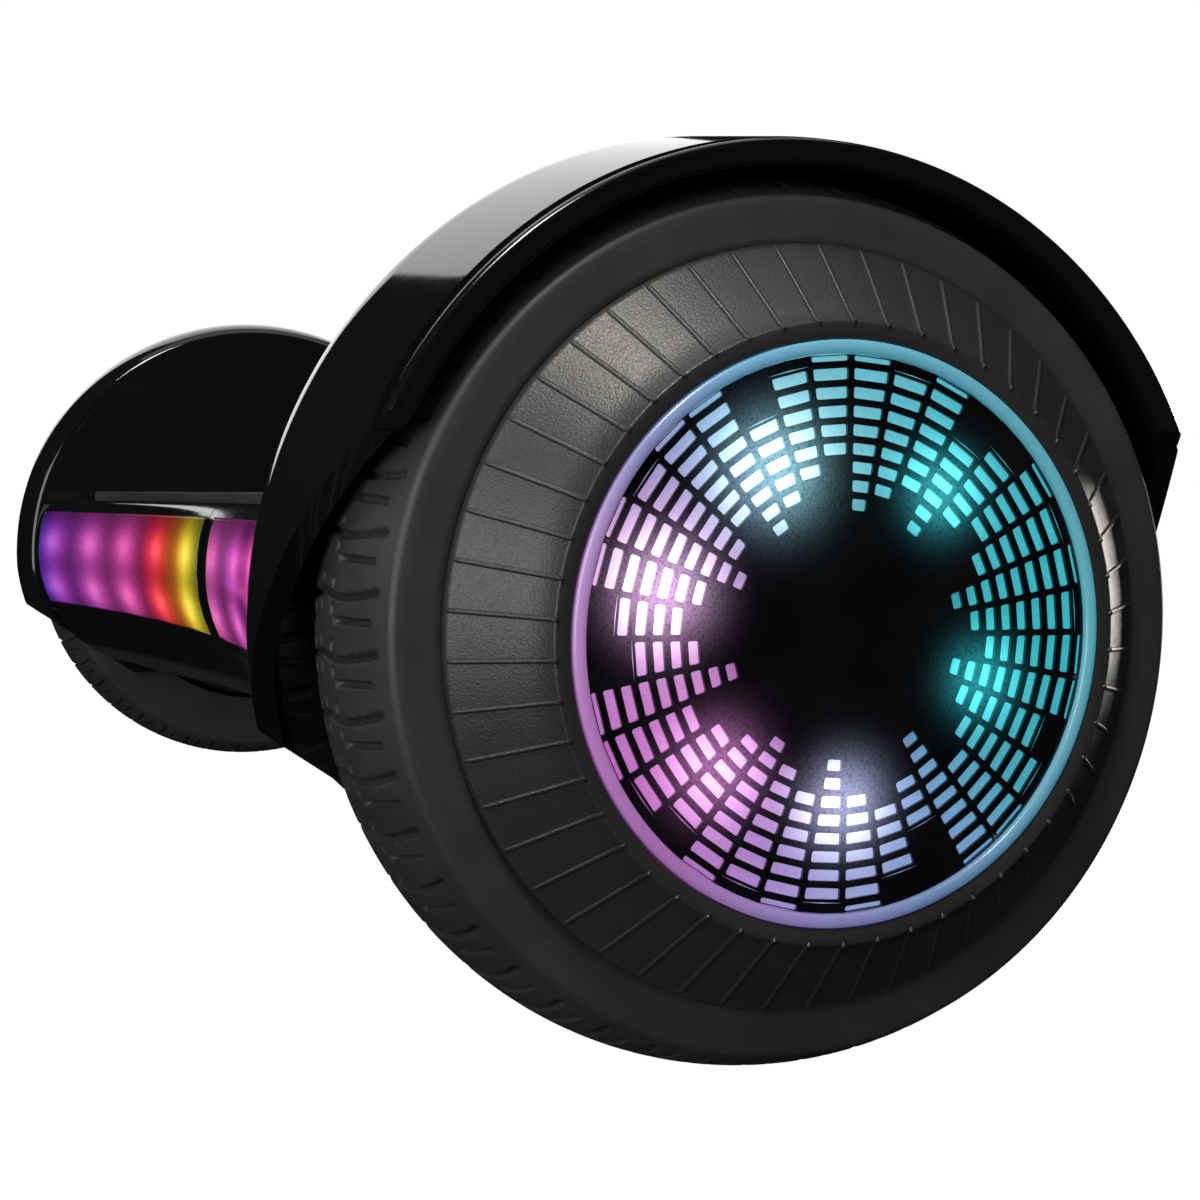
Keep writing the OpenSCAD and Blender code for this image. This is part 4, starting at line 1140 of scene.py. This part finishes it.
def stage():
    """Pale floor that stays plain white."""
    mesh = bpy.data.meshes.new("floor")
    far = 8.0
    mesh.from_pydata([(-far, -far, 0), (far, -far, 0), (far, far, 0), (-far, far, 0)], [], [(0, 1, 2, 3)])
    floor = bpy.data.objects.new("floor", mesh)
    bpy.context.scene.collection.objects.link(floor)
    m = Nodes("floor_white")
    shade = m.ramp(m.noise(3, 2), [(0.3, (0.05, 0.05, 0.05)), (0.7, (0.06, 0.06, 0.06))])
    m.set(Base_Color=shade, Roughness=0.9, Specular_IOR_Level=0.0)
    m.set(Emission_Color=(1, 1, 1), Emission_Strength=1.0)
    mesh.materials.append(m.material)
    floor.visible_glossy = False
    floor.visible_diffuse = False


def world():
    """White backdrop for the camera, black surroundings for reflections and a soft grey fill."""
    made = bpy.data.worlds.new("studio")
    bpy.context.scene.world = made
    made.use_nodes = True
    tree = made.node_tree
    back = tree.nodes["Background"]
    path = tree.nodes.new("ShaderNodeLightPath")
    fill, seen = tree.nodes.new("ShaderNodeMix"), tree.nodes.new("ShaderNodeMix")
    for node, kind in ((fill, "Is Diffuse Ray"), (seen, "Is Camera Ray")):
        node.data_type = "RGBA"
        tree.links.new(path.outputs[kind], node.inputs[0])
    fill.inputs[6].default_value = (0.004, 0.004, 0.0045, 1)
    fill.inputs[7].default_value = (0.30, 0.30, 0.31, 1)
    tree.links.new(fill.outputs[2], seen.inputs[6])
    seen.inputs[7].default_value = (1, 1, 1, 1)
    tree.links.new(seen.outputs[2], back.inputs["Color"])


def softbox(name, place, aim, size, power, colour=(1, 1, 1)):
    """Area light that points at a spot."""
    lamp = bpy.data.lights.new(name, "AREA")
    lamp.shape = "RECTANGLE"
    lamp.size, lamp.size_y = size
    lamp.energy = power
    lamp.color = colour
    holder = bpy.data.objects.new(name, lamp)
    bpy.context.scene.collection.objects.link(holder)
    holder.location = place
    holder.rotation_euler = (Vector(aim) - Vector(place)).to_track_quat("-Z", "Y").to_euler()


def lights():
    """A tall box past the far end, soft fill overhead and in front, a key above and a strip for the rim."""
    softbox("backdrop", (-1.75, 0.28, 1.25), (0.25, 0.28, 0.3), (1.3, 2.0), 11)
    softbox("overhead", (-0.1, 0.1, 1.5), (-0.1, 0.1, 0), (1.2, 1.4), 5)
    softbox("key", (0.75, -0.40, 1.23), (0.28, 0, 0.1), (0.34, 0.34), 13, (1.0, 0.96, 0.92))
    softbox("rim", (-0.5, 1.34, 0.16), (0.28, 0.06, 0.1), (0.30, 0.5), 10, (1.0, 0.95, 0.90))
    softbox("front", (1.05, -1.35, 0.35), (0.2, 0, 0.09), (1.3, 0.9), 16)


def camera():
    """Camera at the photograph's place: low, outside the right wheel and a little in front."""
    place = Vector((0.6234, -0.1763, 0.0242 + AXLE_Z * MM))
    ahead = Vector((-0.9298, 0.3647, -0.0495)).normalized()
    up = Vector((-0.0502, 0.0078, 0.9987))
    aside = ahead.cross(up).normalized()
    up = aside.cross(ahead)
    lens = bpy.data.cameras.new("camera")
    lens.angle = math.radians(33.64)
    lens.clip_start = 0.01
    holder = bpy.data.objects.new("camera", lens)
    bpy.context.scene.collection.objects.link(holder)
    holder.matrix_world = Matrix.Translation(place) @ Matrix((aside, up, -ahead)).transposed().to_4x4()
    bpy.context.scene.camera = holder


def look():
    """Colours as the photograph's."""
    bpy.context.scene.view_settings.view_transform = "Standard"


dress_cad_nodes()
for hand in ("right", "left"):
    fender(hand)
    fender_trim(hand)
    tyre(hand)
    hub_cap(hand)
    hub_lens(hand)
    hub_mask(hand)
    top_shell(hand)
    bottom_shell(hand)
    light_lens(hand)
    foot_pad(hand)
stage()
world()
lights()
camera()
look()
